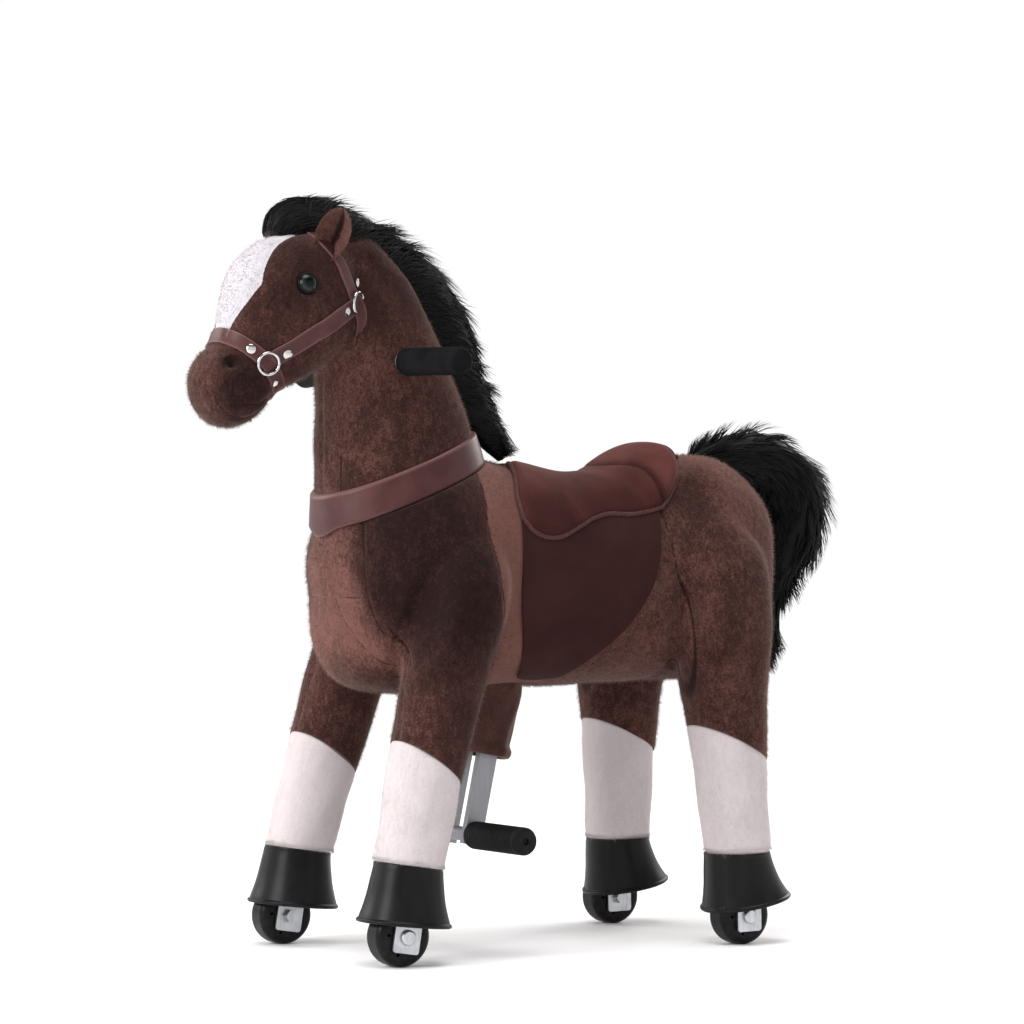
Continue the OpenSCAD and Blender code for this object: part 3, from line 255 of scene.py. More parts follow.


# Wheels: cast black polyurethane on nylon hubs, semi gloss, with scuffed grey patches
# here and there.
wheel_place = Shade.finish("wheel_polyurethane", {"Specular IOR Level": 0.1, "Coat Roughness": 0.2})
wheel_scuff = wheel_place.noise(140, 5, twist=0.4)
wheel_rubber = wheel_place.surface({
    "Base Color": wheel_scuff.ramp(
        (0.45, (0.005, 0.005, 0.0056)), (0.62, (0.009, 0.009, 0.0096)), (0.75, (0.017, 0.0165, 0.0165))),
    "Roughness": 0.22 + wheel_scuff * 0.3,
    "Coat Weight": 0.07 - wheel_scuff * 0.06,
    "Normal": wheel_place.noise(700, 3).bump(0.1, 0.0002)})
dress(wheel_rubber, "front_left_tyre", "front_right_tyre", "rear_left_tyre", "rear_right_tyre")


# Body: brown short-pile plush sewn in panels and stuffed tight over the frame. Shoulders
# and hips run down into the legs without a break.
def through(rows, steps):
    """Catmull-Rom curve through the rows, with that many points to a span."""
    rows = np.asarray(rows, float)
    held = np.vstack([rows[:1], rows, rows[-1:]])
    a, b, c, d = (held[i:len(held) - 3 + i, None] for i in range(4))
    t = np.linspace(0, 1, steps, endpoint=False)[None, :, None]
    curve = (2 * b + (c - a) * t + (2 * a - 5 * b + 4 * c - d) * t ** 2
             + (3 * b - a - 3 * c + d) * t ** 3) / 2
    return np.vstack([curve.reshape(-1, rows.shape[1]), rows[-1:]])


def circle(sides):
    """Angles of that many points round a ring."""
    return np.linspace(0, 2 * np.pi, sides, endpoint=False)


def unit(vectors, least=0.0):
    """Vectors of length 1; a small least length keeps an empty one from dividing by zero."""
    return vectors / (np.linalg.norm(vectors, axis=-1, keepdims=True) + least)


def rounded(angle, power):
    """Cosine and sine of a superellipse: sign(c)|c|^(2/power), and so for the sine."""
    c, s = np.cos(angle), np.sin(angle)
    return np.sign(c) * abs(c) ** (2 / power), np.sign(s) * abs(s) ** (2 / power)


def rings(centre, across, up, power, sides):
    """Grid of superellipse rings: centre + across*cos + up*sin, one ring to a row."""
    c, s = rounded(circle(sides), power)
    return centre[:, None] + across[:, None] * c[:, None] + up[:, None] * s[:, None]


def tube(grid, first=0):
    """Points and faces of a grid closed round its second parameter, its ends drawn to a point."""
    m, n = grid.shape[:2]
    points = np.vstack([grid.reshape(-1, 3), grid[0].mean(0), grid[-1].mean(0)])
    i, k = np.meshgrid(np.arange(m - 1), np.arange(n), indexing="ij")
    a, b = i * n + k, i * n + (k + 1) % n
    quads = np.stack([a, b, b + n, a + n], -1).reshape(-1, 4) + first
    k = np.arange(n)
    turn, end = (k + 1) % n, (m - 1) * n
    start_fan = np.stack([turn, k, np.full(n, m * n)], -1) + first
    end_fan = np.stack([end + k, end + turn, np.full(n, m * n + 1)], -1) + first
    return points, [*quads.tolist(), *start_fan.tolist(), *end_fan.tolist()]


def tubes(name, grids, material, body=None):
    """One object from several closed grids, its faces turned outwards."""
    points, faces, count = [], [], 0
    for grid in grids:
        more, made = tube(grid, count)
        points.append(more)
        faces += made
        count += len(more)
    piece = shown(name, np.vstack(points), faces, material, body)
    outward(piece)
    return piece


def outward(piece):
    """Turns a piece's faces outwards."""
    work = bmesh.new()
    work.from_mesh(piece.data)
    bmesh.ops.recalc_face_normals(work, faces=work.faces)
    work.to_mesh(piece.data)
    work.free()


def settled(piece):
    """Puts the result of a piece's modifiers into its mesh."""
    seen = piece.evaluated_get(bpy.context.evaluated_depsgraph_get())
    mesh = bpy.data.meshes.new_from_object(seen)
    piece.modifiers.clear()
    piece.data = mesh
    mesh.shade_smooth()
    return piece


def stuffed(name, grids, material, voxel, rounds):
    """One skin over closed forms: their voxel union, eased by rounds of vertex averaging."""
    piece = tubes(name, grids, material)
    union = piece.modifiers.new("union", "REMESH")
    union.mode, union.voxel_size = "VOXEL", voxel
    ease = piece.modifiers.new("ease", "SMOOTH")
    ease.factor, ease.iterations = 0.5, rounds
    return settled(piece)


def corners(piece):
    """Places and outward directions of a mesh's points, as arrays."""
    mesh = piece.data
    place, normal = np.empty(len(mesh.vertices) * 3), np.empty(len(mesh.vertices) * 3)
    mesh.vertices.foreach_get("co", place)
    mesh.vertices.foreach_get("normal", normal)
    return place.reshape(-1, 3), normal.reshape(-1, 3)


def reshape_points(piece, place):
    """Moves a mesh's points to these places."""
    piece.data.vertices.foreach_set("co", np.ascontiguousarray(place, float).ravel())
    piece.data.update()


def paint(piece, name, values):
    """Puts one number a point into an attribute that the material reads."""
    layer = piece.data.attributes.get(name) or piece.data.attributes.new(name, "FLOAT", "POINT")
    layer.data.foreach_set("value", np.asarray(values, np.float32))


def off_line(flat, line):
    """Distance of flat points from a drawn line, the least over its straight stretches."""
    line = np.asarray(line, float)
    best = np.full(len(flat), 1e9)
    for p, q in zip(line[:-1], line[1:]):
        t = np.clip((flat - p) @ (q - p) / ((q - p) @ (q - p)), 0, 1)
        best = np.minimum(best, np.linalg.norm(flat - p - t[:, None] * (q - p), axis=1))
    return best


def line_at(line, height):
    """Place across of a drawn line that runs down, at some heights."""
    across, level = np.array(line[::-1]).T
    return np.interp(height, level, across)


def trimmed(piece, cuts):
    """Keeps what lies inside some planes of a closed skin, and closes each cut flat."""
    work = bmesh.new()
    work.from_mesh(piece.data)
    for point, normal in cuts:
        cut = bmesh.ops.bisect_plane(
            work, geom=work.verts[:] + work.edges[:] + work.faces[:], plane_co=point, plane_no=normal,
            clear_outer=True)
        rim = [e for e in cut["geom_cut"] if isinstance(e, bmesh.types.BMEdge)]
        bmesh.ops.holes_fill(work, edges=rim, sides=0)
    work.to_mesh(piece.data)
    work.free()
    piece.data.shade_smooth()
    piece.data.set_sharp_from_angle(angle=0.9)
    return piece


def copied(piece, name):
    """New object with its own copy of a piece's mesh."""
    made = bpy.data.objects.new(name, piece.data.copy())
    bpy.context.scene.collection.objects.link(made)
    return made


def smooth_step(values, low, high):
    """0 at low, 1 at high and t^2 (3 - 2t) between; low may be the larger."""
    t = np.clip((values - low) / (high - low), 0, 1)
    return t * t * (3 - 2 * t)


def plush_finish(name, dark, mid, light, sheen, grain):
    """Short pile: cloudy patches of pile, streaks and a grain of fibre tips, dark along its seams, lightened
    and darkened by a painted attribute that holds pile direction with painted light and shade; a blaze is
    white.
    """
    place = Shade.finish(name, {
        "Roughness": 0.95, "Specular IOR Level": 0.12, "Sheen Weight": sheen, "Sheen Roughness": 0.38,
        "Sheen Tint": (1.0, 0.72, 0.64, 1)})
    cloud, tip = place.noise(9, 4, twist=1.6), place.noise(520, 2)
    streak = place.noise(190, 3, (1, 1, 0.6), 0.8)
    seam = place.painted("seam").between(1.6, 2.8)
    # The painted attribute adds pile laid in different ways and painted light and shade: lit places lighter,
    # shaded ones darker.
    tone = cloud * 0.5 + streak * 0.48 + tip * 0.52 + place.painted("nap") * 0.16 - seam * 0.34 - 0.25
    white = (tip * 0.6 + streak * 0.4).ramp((0.3, (0.44, 0.415, 0.445)), (0.7, (0.53, 0.505, 0.535)))
    blaze = (place.painted("blaze") + tip * 0.9).between(5.1, 5.8)
    return place.surface({
        "Base Color": blaze.mix(tone.ramp((0.22, dark), (0.5, mid), (0.85, light)), white),
        "Normal": ((tip * 0.7 + streak * 0.5 - seam * 0.5) * (1 - blaze * 0.8)).bump(grain, 0.0012)})


plush = plush_finish("brown_plush", (0.0135, 0.0056, 0.0048), (0.041, 0.0168, 0.0142),
                     (0.135, 0.060, 0.050), 0.22, 0.55)

pivot_height, front_pivot, rear_pivot = 0.385, 0.135, -0.160
pivot_span = front_pivot - rear_pivot
torso_height, torso_width, torso_power = 0.230, 0.214, 2.3
torso_rows = through([
    (-0.38, 0.09, -0.09, 0.09), (-0.356, 0.24, -0.29, 0.27), (-0.288, 0.37, -0.41, 0.39),
    (-0.153, 0.448, -0.51, 0.477), (0, 0.426, -0.535, 0.495), (0.203, 0.361, -0.535, 0.477),
    (0.407, 0.343, -0.548, 0.467), (0.61, 0.383, -0.552, 0.472), (0.797, 0.422, -0.557, 0.49),
    (0.983, 0.404, -0.57, 0.505), (1.153, 0.304, -0.552, 0.463), (1.261, 0.152, -0.478, 0.336),
    (1.308, 0, -0.348, 0.187), (1.325, -0.12, -0.226, 0.056)], 6)
torso_rows = torso_rows * (pivot_span, torso_height, torso_height, torso_width) + (
    rear_pivot, pivot_height, pivot_height, 0)


def torso_at(x, angle, grow=0.0):
    """Point of the body's skin, let out by grow: superellipse across X, its axes read off the rows."""
    top, low, half = (np.interp(x, torso_rows[:, 0], torso_rows[:, i]) for i in (1, 2, 3))
    c, s = rounded(angle, torso_power)
    return np.stack([x + 0 * c, (half + grow) * c, (top + low) / 2 + ((top - low) / 2 + grow) * s], -1)


def torso_angle(x, z):
    """Angle at which the body's side has height z: the superellipse turned round."""
    top, low = (np.interp(x, torso_rows[:, 0], torso_rows[:, i]) for i in (1, 2))
    s = np.clip((z - (top + low) / 2) / ((top - low) / 2), -1, 1)
    return np.arcsin(np.sign(s) * abs(s) ** (torso_power / 2))


around = circle(72)
torso_grid = torso_at(torso_rows[:, :1] + 0 * around, np.tile(around, (len(torso_rows), 1)))

neck_rise, neck_depth, neck_width = 0.310, 0.160, 0.125
neck_rows = through([
    (-0.023, 0.032, 0.61, 0.7), (0.01, 0.21, 0.54, 0.56), (0.039, 0.371, 0.49, 0.5),
    (0.071, 0.532, 0.43, 0.45), (0.119, 0.694, 0.37, 0.4), (0.194, 0.839, 0.34, 0.33),
    (0.258, 0.935, 0.275, 0.26), (0.3, 0.99, 0.094, 0.1)], 8)
neck_rows = neck_rows * (neck_rise, neck_rise, neck_depth, neck_width) + (front_pivot, pivot_height, 0, 0)


def bent_rings(rows, grow, power, sides):
    """Rings square to a middle line in the XZ plane, from rows of X, Z, half depth and half width."""
    line = rows[:, :2]
    way = unit(np.vstack([line[1:2] - line[:1], line[2:] - line[:-2], line[-1:] - line[-2:-1]]))
    zero = np.zeros(len(rows))
    centre = np.stack([line[:, 0], zero, line[:, 1]], -1)
    normal = np.stack([-way[:, 1], zero, way[:, 0]], -1)
    return rings(centre, np.stack([zero, rows[:, 3] + grow, zero], -1), normal * (rows[:, 2:3] + grow),
                 power, sides)


limb_power = 2.2
neck_grid = bent_rings(neck_rows, 0, limb_power, 72)

leg_thick, foot_top = 0.072, 0.065
leg_tables = {
    False: [(-0.1, 0.06, 0.06), (-0.07, 0.35, 0.3), (0.05, 0.66, 0.56), (0.19, 0.7, 0.61),
            (0.36, 0.61, 0.56), (0.52, 0.53, 0.51), (0.66, 0.5, 0.49), (0.82, 0.47, 0.46),
            (1, 0.43, 0.43), (1.07, 0.42, 0.42)],
    True: [(-0.16, 0.06, 0.06), (-0.12, 0.45, 0.32), (0.03, 0.76, 0.56), (0.19, 0.79, 0.60),
           (0.36, 0.69, 0.58), (0.52, 0.56, 0.54), (0.66, 0.5, 0.5), (0.82, 0.46, 0.46),
           (1, 0.42, 0.42), (1.07, 0.41, 0.41)]}
axle_x = {False: 0.207, True: -0.183}
hoof_inset, hoof_setback = {False: 0.007, True: 0.009}, 0.005
foot_tilt = {False: math.radians(-9), True: math.radians(1)}
leg_set = {False: front_pivot - 0.018, True: rear_pivot - 0.014}
half_track, axle_height, leg_top_y = 0.119, 0.0285, 0.086


def foot_up(rear):
    """Direction up a foot, which leans by its tilt."""
    return np.array((math.sin(foot_tilt[rear]), 0, math.cos(foot_tilt[rear])))


def axle(rear, side):
    """Foot over its wheel: the hoof sits a little behind and inside the middle of the wheel."""
    return np.array((axle_x[rear] - hoof_setback, side * (half_track - hoof_inset[rear]), axle_height))


def leg_grid(rear, side, sides=56):
    """A leg's level rings from inside the body to the top of the hoof."""
    rows = through(leg_tables[rear], 8)
    top = np.array((leg_set[rear], side * leg_top_y, pivot_height))
    foot = axle(rear, side) + foot_up(rear) * foot_top
    zero = np.zeros(len(rows))
    return rings(top + (foot - top) * rows[:, :1], np.stack([rows[:, 1] * leg_thick, zero, zero], -1),
                 np.stack([zero, -rows[:, 2] * leg_thick, zero], -1), limb_power, sides)


feet = [(rear, side) for rear in (False, True) for side in (1, -1)]
skin_voxel, body_rounds, body_let_out = 0.003, 44, 0.0020
whole_body = stuffed("whole_body", [torso_grid, neck_grid, *(leg_grid(*foot) for foot in feet)], plush,
                     skin_voxel, body_rounds)

place, normal = corners(whole_body)
place = place + normal * body_let_out
side_view, front_view = place[:, [0, 2]], place[:, 1:]
shoulder_line = [(0.088, 0.47), (0.098, 0.42), (0.098, 0.36), (0.088, 0.31), (0.071, 0.265)]
chest_line = [(0.036, 0.46), (0.044, 0.435), (0.060, 0.39), (0.066, 0.345), (0.076, 0.312), (0.098, 0.283)]
chest_cross = [(0.0, 0.349), (0.066, 0.345)]
chest_dart = [(0.018, 0.348), (0.028, 0.324), (0.046, 0.303), (0.072, 0.272)]
shin_line = [(0.083, 0.315), (0.088, 0.29), (0.095, 0.253), (0.101, 0.229), (0.106, 0.18)]
cloth_front = (0.040, 0, 0)
flank_point, flank_way = np.array((-0.112, 0, 0.42)), np.array((0.9912, 0, -0.1322))
front_facing = (normal[:, 0] > 0.05) & (place[:, 0] > 0.12)
side_facing = abs(normal[:, 1]) > 0.3
from_flank = (place - flank_point) @ flank_way
drawn = [(side_facing, side_view, shoulder_line),
         (place[:, 0] < 0, from_flank[:, None] * (1, 0), [(0, 0), (0, 0.0001)])]
drawn += [(front_facing, np.abs(front_view), line)
          for line in (chest_cross, chest_line, chest_dart, shin_line)]
seam_off = np.min([np.where(shows, off_line(flat, line), 1.0) for shows, flat, line in drawn], 0)
breast_in = line_at(chest_line, place[:, 2]) - abs(place[:, 1])
breast_light = smooth_step(breast_in, -0.004, 0.034) * smooth_step(place[:, 2], 0.255, 0.30) * front_facing
seam_depth, seam_reach = 0.0016, 0.0028
chest = 0.013 * np.exp(-((place[:, 2] - 0.330) / 0.06) ** 2) * smooth_step(normal[:, 0], 0.2, 0.8)
lump = (np.sin(place @ (41, 23, 31)) * np.sin(place @ (-17, 37, 29) + 1.3)
        * np.sin(place @ (29, -31, 19) + 0.4))
place = place + normal * (
    0.0016 * lump - seam_depth * np.exp(-(seam_off / seam_reach) ** 2) - chest)[:, None]
reshape_points(whole_body, place)
shoulder_x = line_at(shoulder_line, place[:, 2])
strip = smooth_step(shoulder_x - place[:, 0], -0.001, 0.003) * (place[:, 0] > 0) * side_facing
flank = (smooth_step(place[:, 0], -0.02, -0.09) * smooth_step(place[:, 2], 0.36, 0.28)
         * ((place - flank_point) @ flank_way > 0))
rump_top_light = smooth_step(place[:, 0], -0.15, -0.20) * smooth_step(place[:, 2], 0.38, 0.46)


def seam_mark(off):
    """3 on a seam, falling to 0 at 3 mm from it."""
    return 3 - np.clip(off * 1000, 0, 3)


paint(whole_body, "seam", seam_mark(seam_off))
# Painted light and shade in the plush's colour: the shoulder's side darker, as in shade; the breast, the
# front of the shins and the top of the rump lighter, as where light falls. The strip behind the shoulder, the
# lower flank and the rear half are lighter too.
shoulder_shade = (smooth_step(place[:, 0], 0.06, 0.14) * smooth_step(place[:, 2], 0.24, 0.34) * (1 - strip)
            * smooth_step(-breast_in, -0.012, 0.026))
shin_light = smooth_step(normal[:, 0], 0.45, 0.95) * smooth_step(place[:, 2], 0.33, 0.29) * (place[:, 0] > 0)
paint(whole_body, "nap", 2.5 * strip + 0.3 * flank + 1.1 * rump_top_light + 1.7 * breast_light + 0.2 * shin_light * (1 - breast_light)
      - 1.7 * shoulder_shade + 0.4 * (place[:, 0] < 0))

collar_point = np.array((0.1381, 0, 0.447))
steer_axis = np.array((0.374607, 0, 0.927184))
sock_rise, sock_slope = 0.169, math.radians(27)


def sock_edge(rear):
    """Point and downward normal of the slanting plane between plush leg and sock."""
    turn = foot_tilt[rear] - sock_slope
    return axle(rear, 0) + foot_up(rear) * sock_rise, np.array((-math.sin(turn), 0, -math.cos(turn)))


fore_cuts = [(cloth_front, (-1, 0, 0)), (collar_point, steer_axis), sock_edge(False)]
barrel_cuts = [(cloth_front, (1, 0, 0)), (flank_point, -flank_way)]
hind_cuts = [(flank_point, flank_way), sock_edge(True)]
forequarters = trimmed(copied(whole_body, "forequarters"), fore_cuts)
barrel = trimmed(copied(whole_body, "barrel"), barrel_cuts)
hindquarters = trimmed(copied(whole_body, "hindquarters"), hind_cuts)
bpy.data.objects.remove(whole_body)


leg_body = {False: "front_legs", True: "rear_legs"}
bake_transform(forequarters)
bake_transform(hindquarters)
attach(barrel, "body")
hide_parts("torso")
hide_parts("front_shoulders", "front_left_leg", "front_right_leg")
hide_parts("rear_hips", "rear_left_leg", "rear_right_leg")


# Socks: white short-pile plush sewn to the brown legs along a slanting seam and tucked
# into the hooves, with the pile standing over the hoof's edge.
white_plush = plush_finish("white_plush", (0.46, 0.410, 0.416), (0.53, 0.475, 0.482),
                           (0.58, 0.525, 0.532), 0.12, 0.10)


def crossed(grid, height, level):
    """Point of each line along a grid where its height passes the level, by straight interpolation."""
    past = (height - level) * np.sign(height[-1] - height[0]) > 0
    i = np.clip(np.argmax(past, axis=0), 1, None)
    k = np.arange(grid.shape[1])
    lower, upper = height[i - 1, k], height[i, k]
    t = np.clip((level - lower) / (upper - lower), 0, 1)
    return grid[i - 1, k] + (grid[i, k] - grid[i - 1, k]) * t[:, None]


def sock_grid(rear, side):
    """The leg's skin between the sock's edge (share 0) and the hoof (share 1), let out by its pile."""
    grid = leg_grid(rear, side, 64)
    point, down = sock_edge(rear)
    below = (grid - point) @ down
    above = (grid - axle(rear, side)) @ foot_up(rear) - 0.056
    share = below / (below + above)
    rows = np.stack([crossed(grid, share, level) for level in np.linspace(0.004, 1, 60)])
    out = unit(rows - rows.mean(1, keepdims=True))
    swell = 0.0014 * np.sin(np.pi * np.linspace(0.02, 0.98, len(rows)) ** 0.7)[:, None, None]
    crease = 0.0006 * np.sin(90 * rows @ (0.3, 0.5, 1.0) + 2 * np.sin(70 * rows[..., 0]))[..., None]
    rise = (rows - axle(rear, side)) @ foot_up(rear)
    hoof_top = 0.0665 - 0.004 * rear
    hem = 0.0020 * smooth_step(rise, hoof_top, hoof_top + 0.003) * np.exp(-((rise - 0.068) / 0.03) ** 2)
    return rows + out * (swell + crease + hem[..., None])


foot_names = dict(zip(feet, ("front_left", "front_right", "rear_left", "rear_right")))
socks = {}
for foot, corner in foot_names.items():
    socks[foot] = sock = tubes(corner + "_sock_plush", [sock_grid(*foot)], white_plush,
                               leg_body[foot[0]])
    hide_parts(corner + "_sock")


# Hooves: black vinyl cups pulled over the feet, flared to the floor, with a rolled lower rim.
# They screw to the leg frame above the wheel forks.
hoof_place = Shade.finish("hoof_vinyl", {"Specular IOR Level": 0.11, "Coat Roughness": 0.25})
hoof_grain = hoof_place.noise(60, 4, (1, 1, 0.15), 0.5)
hoof_vinyl = hoof_place.surface({
    "Base Color": hoof_grain.ramp((0.3, (0.004, 0.004, 0.0046)), (0.7, (0.009, 0.0088, 0.0098))),
    "Roughness": 0.22 + hoof_grain * 0.3,
    "Coat Weight": hoof_grain * 0.08,
    "Normal": (hoof_place.noise(500, 3) * 0.4 + hoof_grain * 0.6).bump(0.25, 0.0006)})
hoof_profile = through([
    (0.0312, 0.056), (0.0314, 0.0640), (0.0324, 0.0662), (0.0334, 0.0656), (0.0337, 0.0630), (0.0344, 0.057),
    (0.0358, 0.048), (0.0378, 0.036), (0.0405, 0.025), (0.0430, 0.0170), (0.0437, 0.0146), (0.0450, 0.0138),
    (0.0457, 0.0122), (0.0450, 0.0106), (0.0434, 0.0104), (0.0385, 0.0140), (0.0340, 0.0150),
    (0.0330, 0.0170)], 3)
hoof_cup = 0.064
hoof_set = {False: (-0.003, 0.0025, 0), True: (-0.009, 0.007, 0.004)}


def hoof_grid(rear, side):
    """Profile of radius and rise turned about the foot, its lower edge pushed to the toe or heel."""
    up = foot_up(rear)
    ahead = np.array((up[2], 0, -up[0]))
    radius, rise = hoof_profile.T
    turn, (push, tip, drop) = circle(64), hoof_set[rear]
    dent = 1 - 0.012 * np.cos(3 * turn + side) * (rise < hoof_cup)[:, None]
    low = np.clip((hoof_cup - rise) / 0.05, 0, 1)[:, None] ** 1.3
    lift = low * tip * -np.cos(turn) - drop * (1 - low)
    return (axle(rear, side) + (radius[:, None] * dent * np.cos(turn) + low * push)[..., None] * ahead
            + (radius[:, None] * dent * np.sin(turn))[..., None] * (0, 1, 0)
            + (rise[:, None] + lift)[..., None] * up)


for foot, corner in foot_names.items():
    hoof = tubes(corner + "_hoof_vinyl", [hoof_grid(*foot)], hoof_vinyl, leg_body[foot[0]])
    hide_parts(corner + "_hoof")


# Boot: a sleeve of brown plush cloth sewn under the belly round the footpeg stems, open
# below with a rolled hem, so that the stems slide up and down in it.
boot_place = Shade.finish("boot_plush", {
    "Roughness": 0.95, "Specular IOR Level": 0.1, "Sheen Weight": 0.5, "Sheen Roughness": 0.4,
    "Sheen Tint": (1.0, 0.78, 0.7, 1)})
# Painted shade: the fold noise that bumps the cloth also darkens its colour in the hollows of the folds.
boot_fold_and_shade = boot_place.noise(35, 3, (1, 1, 0.4), 1.0)
boot_cloth = boot_place.surface({
    "Base Color": (boot_fold_and_shade * 0.6 + boot_place.noise(650) * 0.4).ramp(
        (0.3, (0.030, 0.0125, 0.0108)), (0.5, (0.054, 0.0235, 0.020)), (0.72, (0.10, 0.047, 0.039))),
    "Normal": (boot_fold_and_shade * 0.6 + boot_place.noise(700) * 0.4).bump(0.4, 0.001)})
stem_up = np.array((-0.207912, 0, 0.978148))
stem_ahead = np.array((0.978148, 0, 0.207912))
peg_middle = np.array((0.070, 0, 0.112))
boot_rows = through([
    (0.163, 0.4, 0.4), (0.160, 0.9, 0.9), (0.150, 1.0, 1.0), (0.135, 1.02, 1.0), (0.115, 0.98, 0.98),
    (0.102, 0.97, 0.97), (0.0945, 0.955, 0.965), (0.0915, 0.985, 0.985), (0.0875, 1.055, 1.04),
    (0.083, 1.05, 1.035), (0.0800, 0.985, 0.985), (0.0810, 0.91, 0.92), (0.092, 0.88, 0.90),
    (0.115, 0.87, 0.89)], 5)
boot_depth, boot_width = 0.030, 0.039
boot_c, boot_s = rounded(around, 2.4)
boot_sag = (1 + 0.018 * np.sin(5 * around + 60 * boot_rows[:, :1])
            + 0.014 * np.sin(9 * around - 90 * boot_rows[:, :1]))
boot_grid = (peg_middle + boot_rows[:, :1, None] * stem_up
             + (boot_rows[:, 1:2] * boot_sag * boot_c * boot_depth)[..., None] * stem_ahead
             + (boot_rows[:, 2:3] * boot_sag * boot_s * boot_width)[..., None] * (0, 1, 0))
boot = tubes("belly_boot_cloth", [boot_grid], boot_cloth, "body")
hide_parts("belly_boot")


# Saddle: maroon suede cloth padded with foam, with a raised cantle sewn on over a curved
# seam, and a corded edge stitched to the body.
suede_place = Shade.finish("saddle_suede", {
    "Roughness": 0.9, "Specular IOR Level": 0.08, "Sheen Weight": 0.08, "Sheen Roughness": 0.35,
    "Sheen Tint": (1.0, 0.7, 0.66, 1)})
suede_rub = suede_place.noise(14, 4, (1, 1, 0.6), 1.5)
suede_nap = suede_place.noise(900, 2)
# Base colour: rubbed patches and fine pile, lightened by painted light towards the saddle's top and darkened
# along the cantle seam.
saddle_suede = suede_place.surface({
    "Base Color": (suede_rub * 0.6 + suede_nap * 0.3 + suede_place.painted("nap") * 0.35
                   - suede_place.painted("seam") * 0.35).ramp(
        (0.25, (0.022, 0.0065, 0.0060)), (0.5, (0.040, 0.0120, 0.0110)), (0.95, (0.105, 0.034, 0.029))),
    "Normal": (suede_nap * 0.5 + suede_rub * 0.5).bump(0.25, 0.0006)})


def slab(outer, inner):
    """Points and faces of a closed sheet between two grids of the same size."""
    m, n = outer.shape[:2]
    count = m * n
    i, k = np.meshgrid(np.arange(m - 1), np.arange(n - 1), indexing="ij")
    a = (i * n + k).ravel()
    face = np.stack([a, a + 1, a + n + 1, a + n], -1)
    i, k = np.arange(m - 1), np.arange(n - 1)
    rim = np.concatenate([k, n - 1 + i * n, (count - 1) - k, (m - 1) * n - i * n])
    after = np.roll(rim, -1)
    edge = np.stack([after, rim, rim + count, after + count], -1)
    points = np.vstack([outer.reshape(-1, 3), inner.reshape(-1, 3)])
    return points, [*face.tolist(), *(face[:, ::-1] + count).tolist(), *edge.tolist()]


def slab_piece(name, sheets, material, body):
    """One object from several closed sheets, its faces turned outwards."""
    points, faces, count = [], [], 0
    for outer, inner in sheets:
        more, made = slab(outer, inner)
        points.append(more)
        faces += [[c + count for c in f] for f in made]
        count += len(more)
    piece = shown(name, np.vstack(points), faces, material, body)
    outward(piece)
    return piece


def drawn_edge(points, share):
    """Points at some shares of the way along a curve through drawn points."""
    curve = through(points, 24)
    return np.stack([np.interp(share, np.linspace(0, 1, len(curve)), curve[:, i]) for i in (0, 1)], -1)


def coons(front, rear, upper, lower, u, v):
    """Coons patch of four edges: front and rear run with v, upper and lower with u."""
    f, r = drawn_edge(front, v)[None], drawn_edge(rear, v)[None]
    t, b = drawn_edge(upper, u)[:, None], drawn_edge(lower, u)[:, None]
    u, v = u[:, None, None], v[None, :, None]
    ruled = (1 - u) * f + u * r + (1 - v) * t + v * b
    return ruled - ((1 - u) * ((1 - v) * f[:, :1] + v * f[:, -1:]) + u * ((1 - v) * r[:, :1] + v * r[:, -1:]))


def side_points(points):
    """Turns X and Z of drawn points into X and the body's angle there."""
    points = np.array(points, float)
    return np.stack([points[:, 0], torso_angle(points[:, 0], points[:, 1])], -1)


quarter = np.pi / 2
saddle_front = np.vstack([[(0.012, quarter), (0.020, quarter * 0.84)], side_points([
    (0.030, 0.473), (0.048, 0.458), (0.056, 0.443), (0.057, 0.432), (0.056, 0.420)])])
saddle_rear = np.vstack([[(-0.167, quarter), (-0.167, quarter * 0.85)], side_points([
    (-0.161, 0.4815), (-0.145, 0.464), (-0.126, 0.445), (-0.111, 0.432)])])
saddle_top = np.stack([np.linspace(0.012, -0.167, 6), np.full(6, quarter)], -1)
saddle_low = side_points([(0.056, 0.420), (0.047, 0.409), (0.031, 0.403), (0.0126, 0.404), (-0.010, 0.413),
                          (-0.030, 0.421), (-0.050, 0.425), (-0.078, 0.425), (-0.111, 0.432)])
saddle_u, saddle_v = np.linspace(0, 1, 90), np.linspace(0, 1, 60)
saddle_half = coons(saddle_front, saddle_rear, saddle_top, saddle_low, saddle_u, saddle_v)
saddle_flat = np.concatenate([saddle_half[:, :0:-1] * (1, -1) + (0, np.pi), saddle_half], 1)
saddle_x, saddle_angle = saddle_flat[..., 0], saddle_flat[..., 1]
saddle_v_both = np.concatenate([-saddle_v[:0:-1], saddle_v])
saddle_length, saddle_drop = 0.204, 0.11
edge_near = np.minimum(np.minimum(saddle_u[:, None], 1 - saddle_u[:, None]) * saddle_length,
                       (1 - abs(saddle_v_both)) * saddle_drop)
edge_round = np.sqrt(1 - (1 - np.clip(edge_near / 0.014, 0, 1)) ** 2)
lean_down = abs(saddle_angle - quarter)
cantle_seam_x = -0.112 + 0.016 * np.exp(-(lean_down / 0.35) ** 2)
behind_seam = saddle_x - cantle_seam_x
cantle_x = -0.138
cantle_share = np.clip((saddle_x - cantle_x) / np.where(saddle_x < cantle_x, 0.036, 0.062), -1, 1)
cantle = np.cos(cantle_share * quarter) ** 2 * smooth_step(lean_down, 1.25, 0.4)
crease = np.exp(-(behind_seam / 0.0028) ** 2) * smooth_step(lean_down, 1.15, 0.95)
sit = np.exp(-((saddle_x + 0.045) / 0.05) ** 2) * 0.002
saddle_grow = 0.0015 + edge_round * (0.0085 + 0.0150 * cantle - 0.0036 * crease - sit)
saddle_outer = torso_at(saddle_x, saddle_angle, saddle_grow)
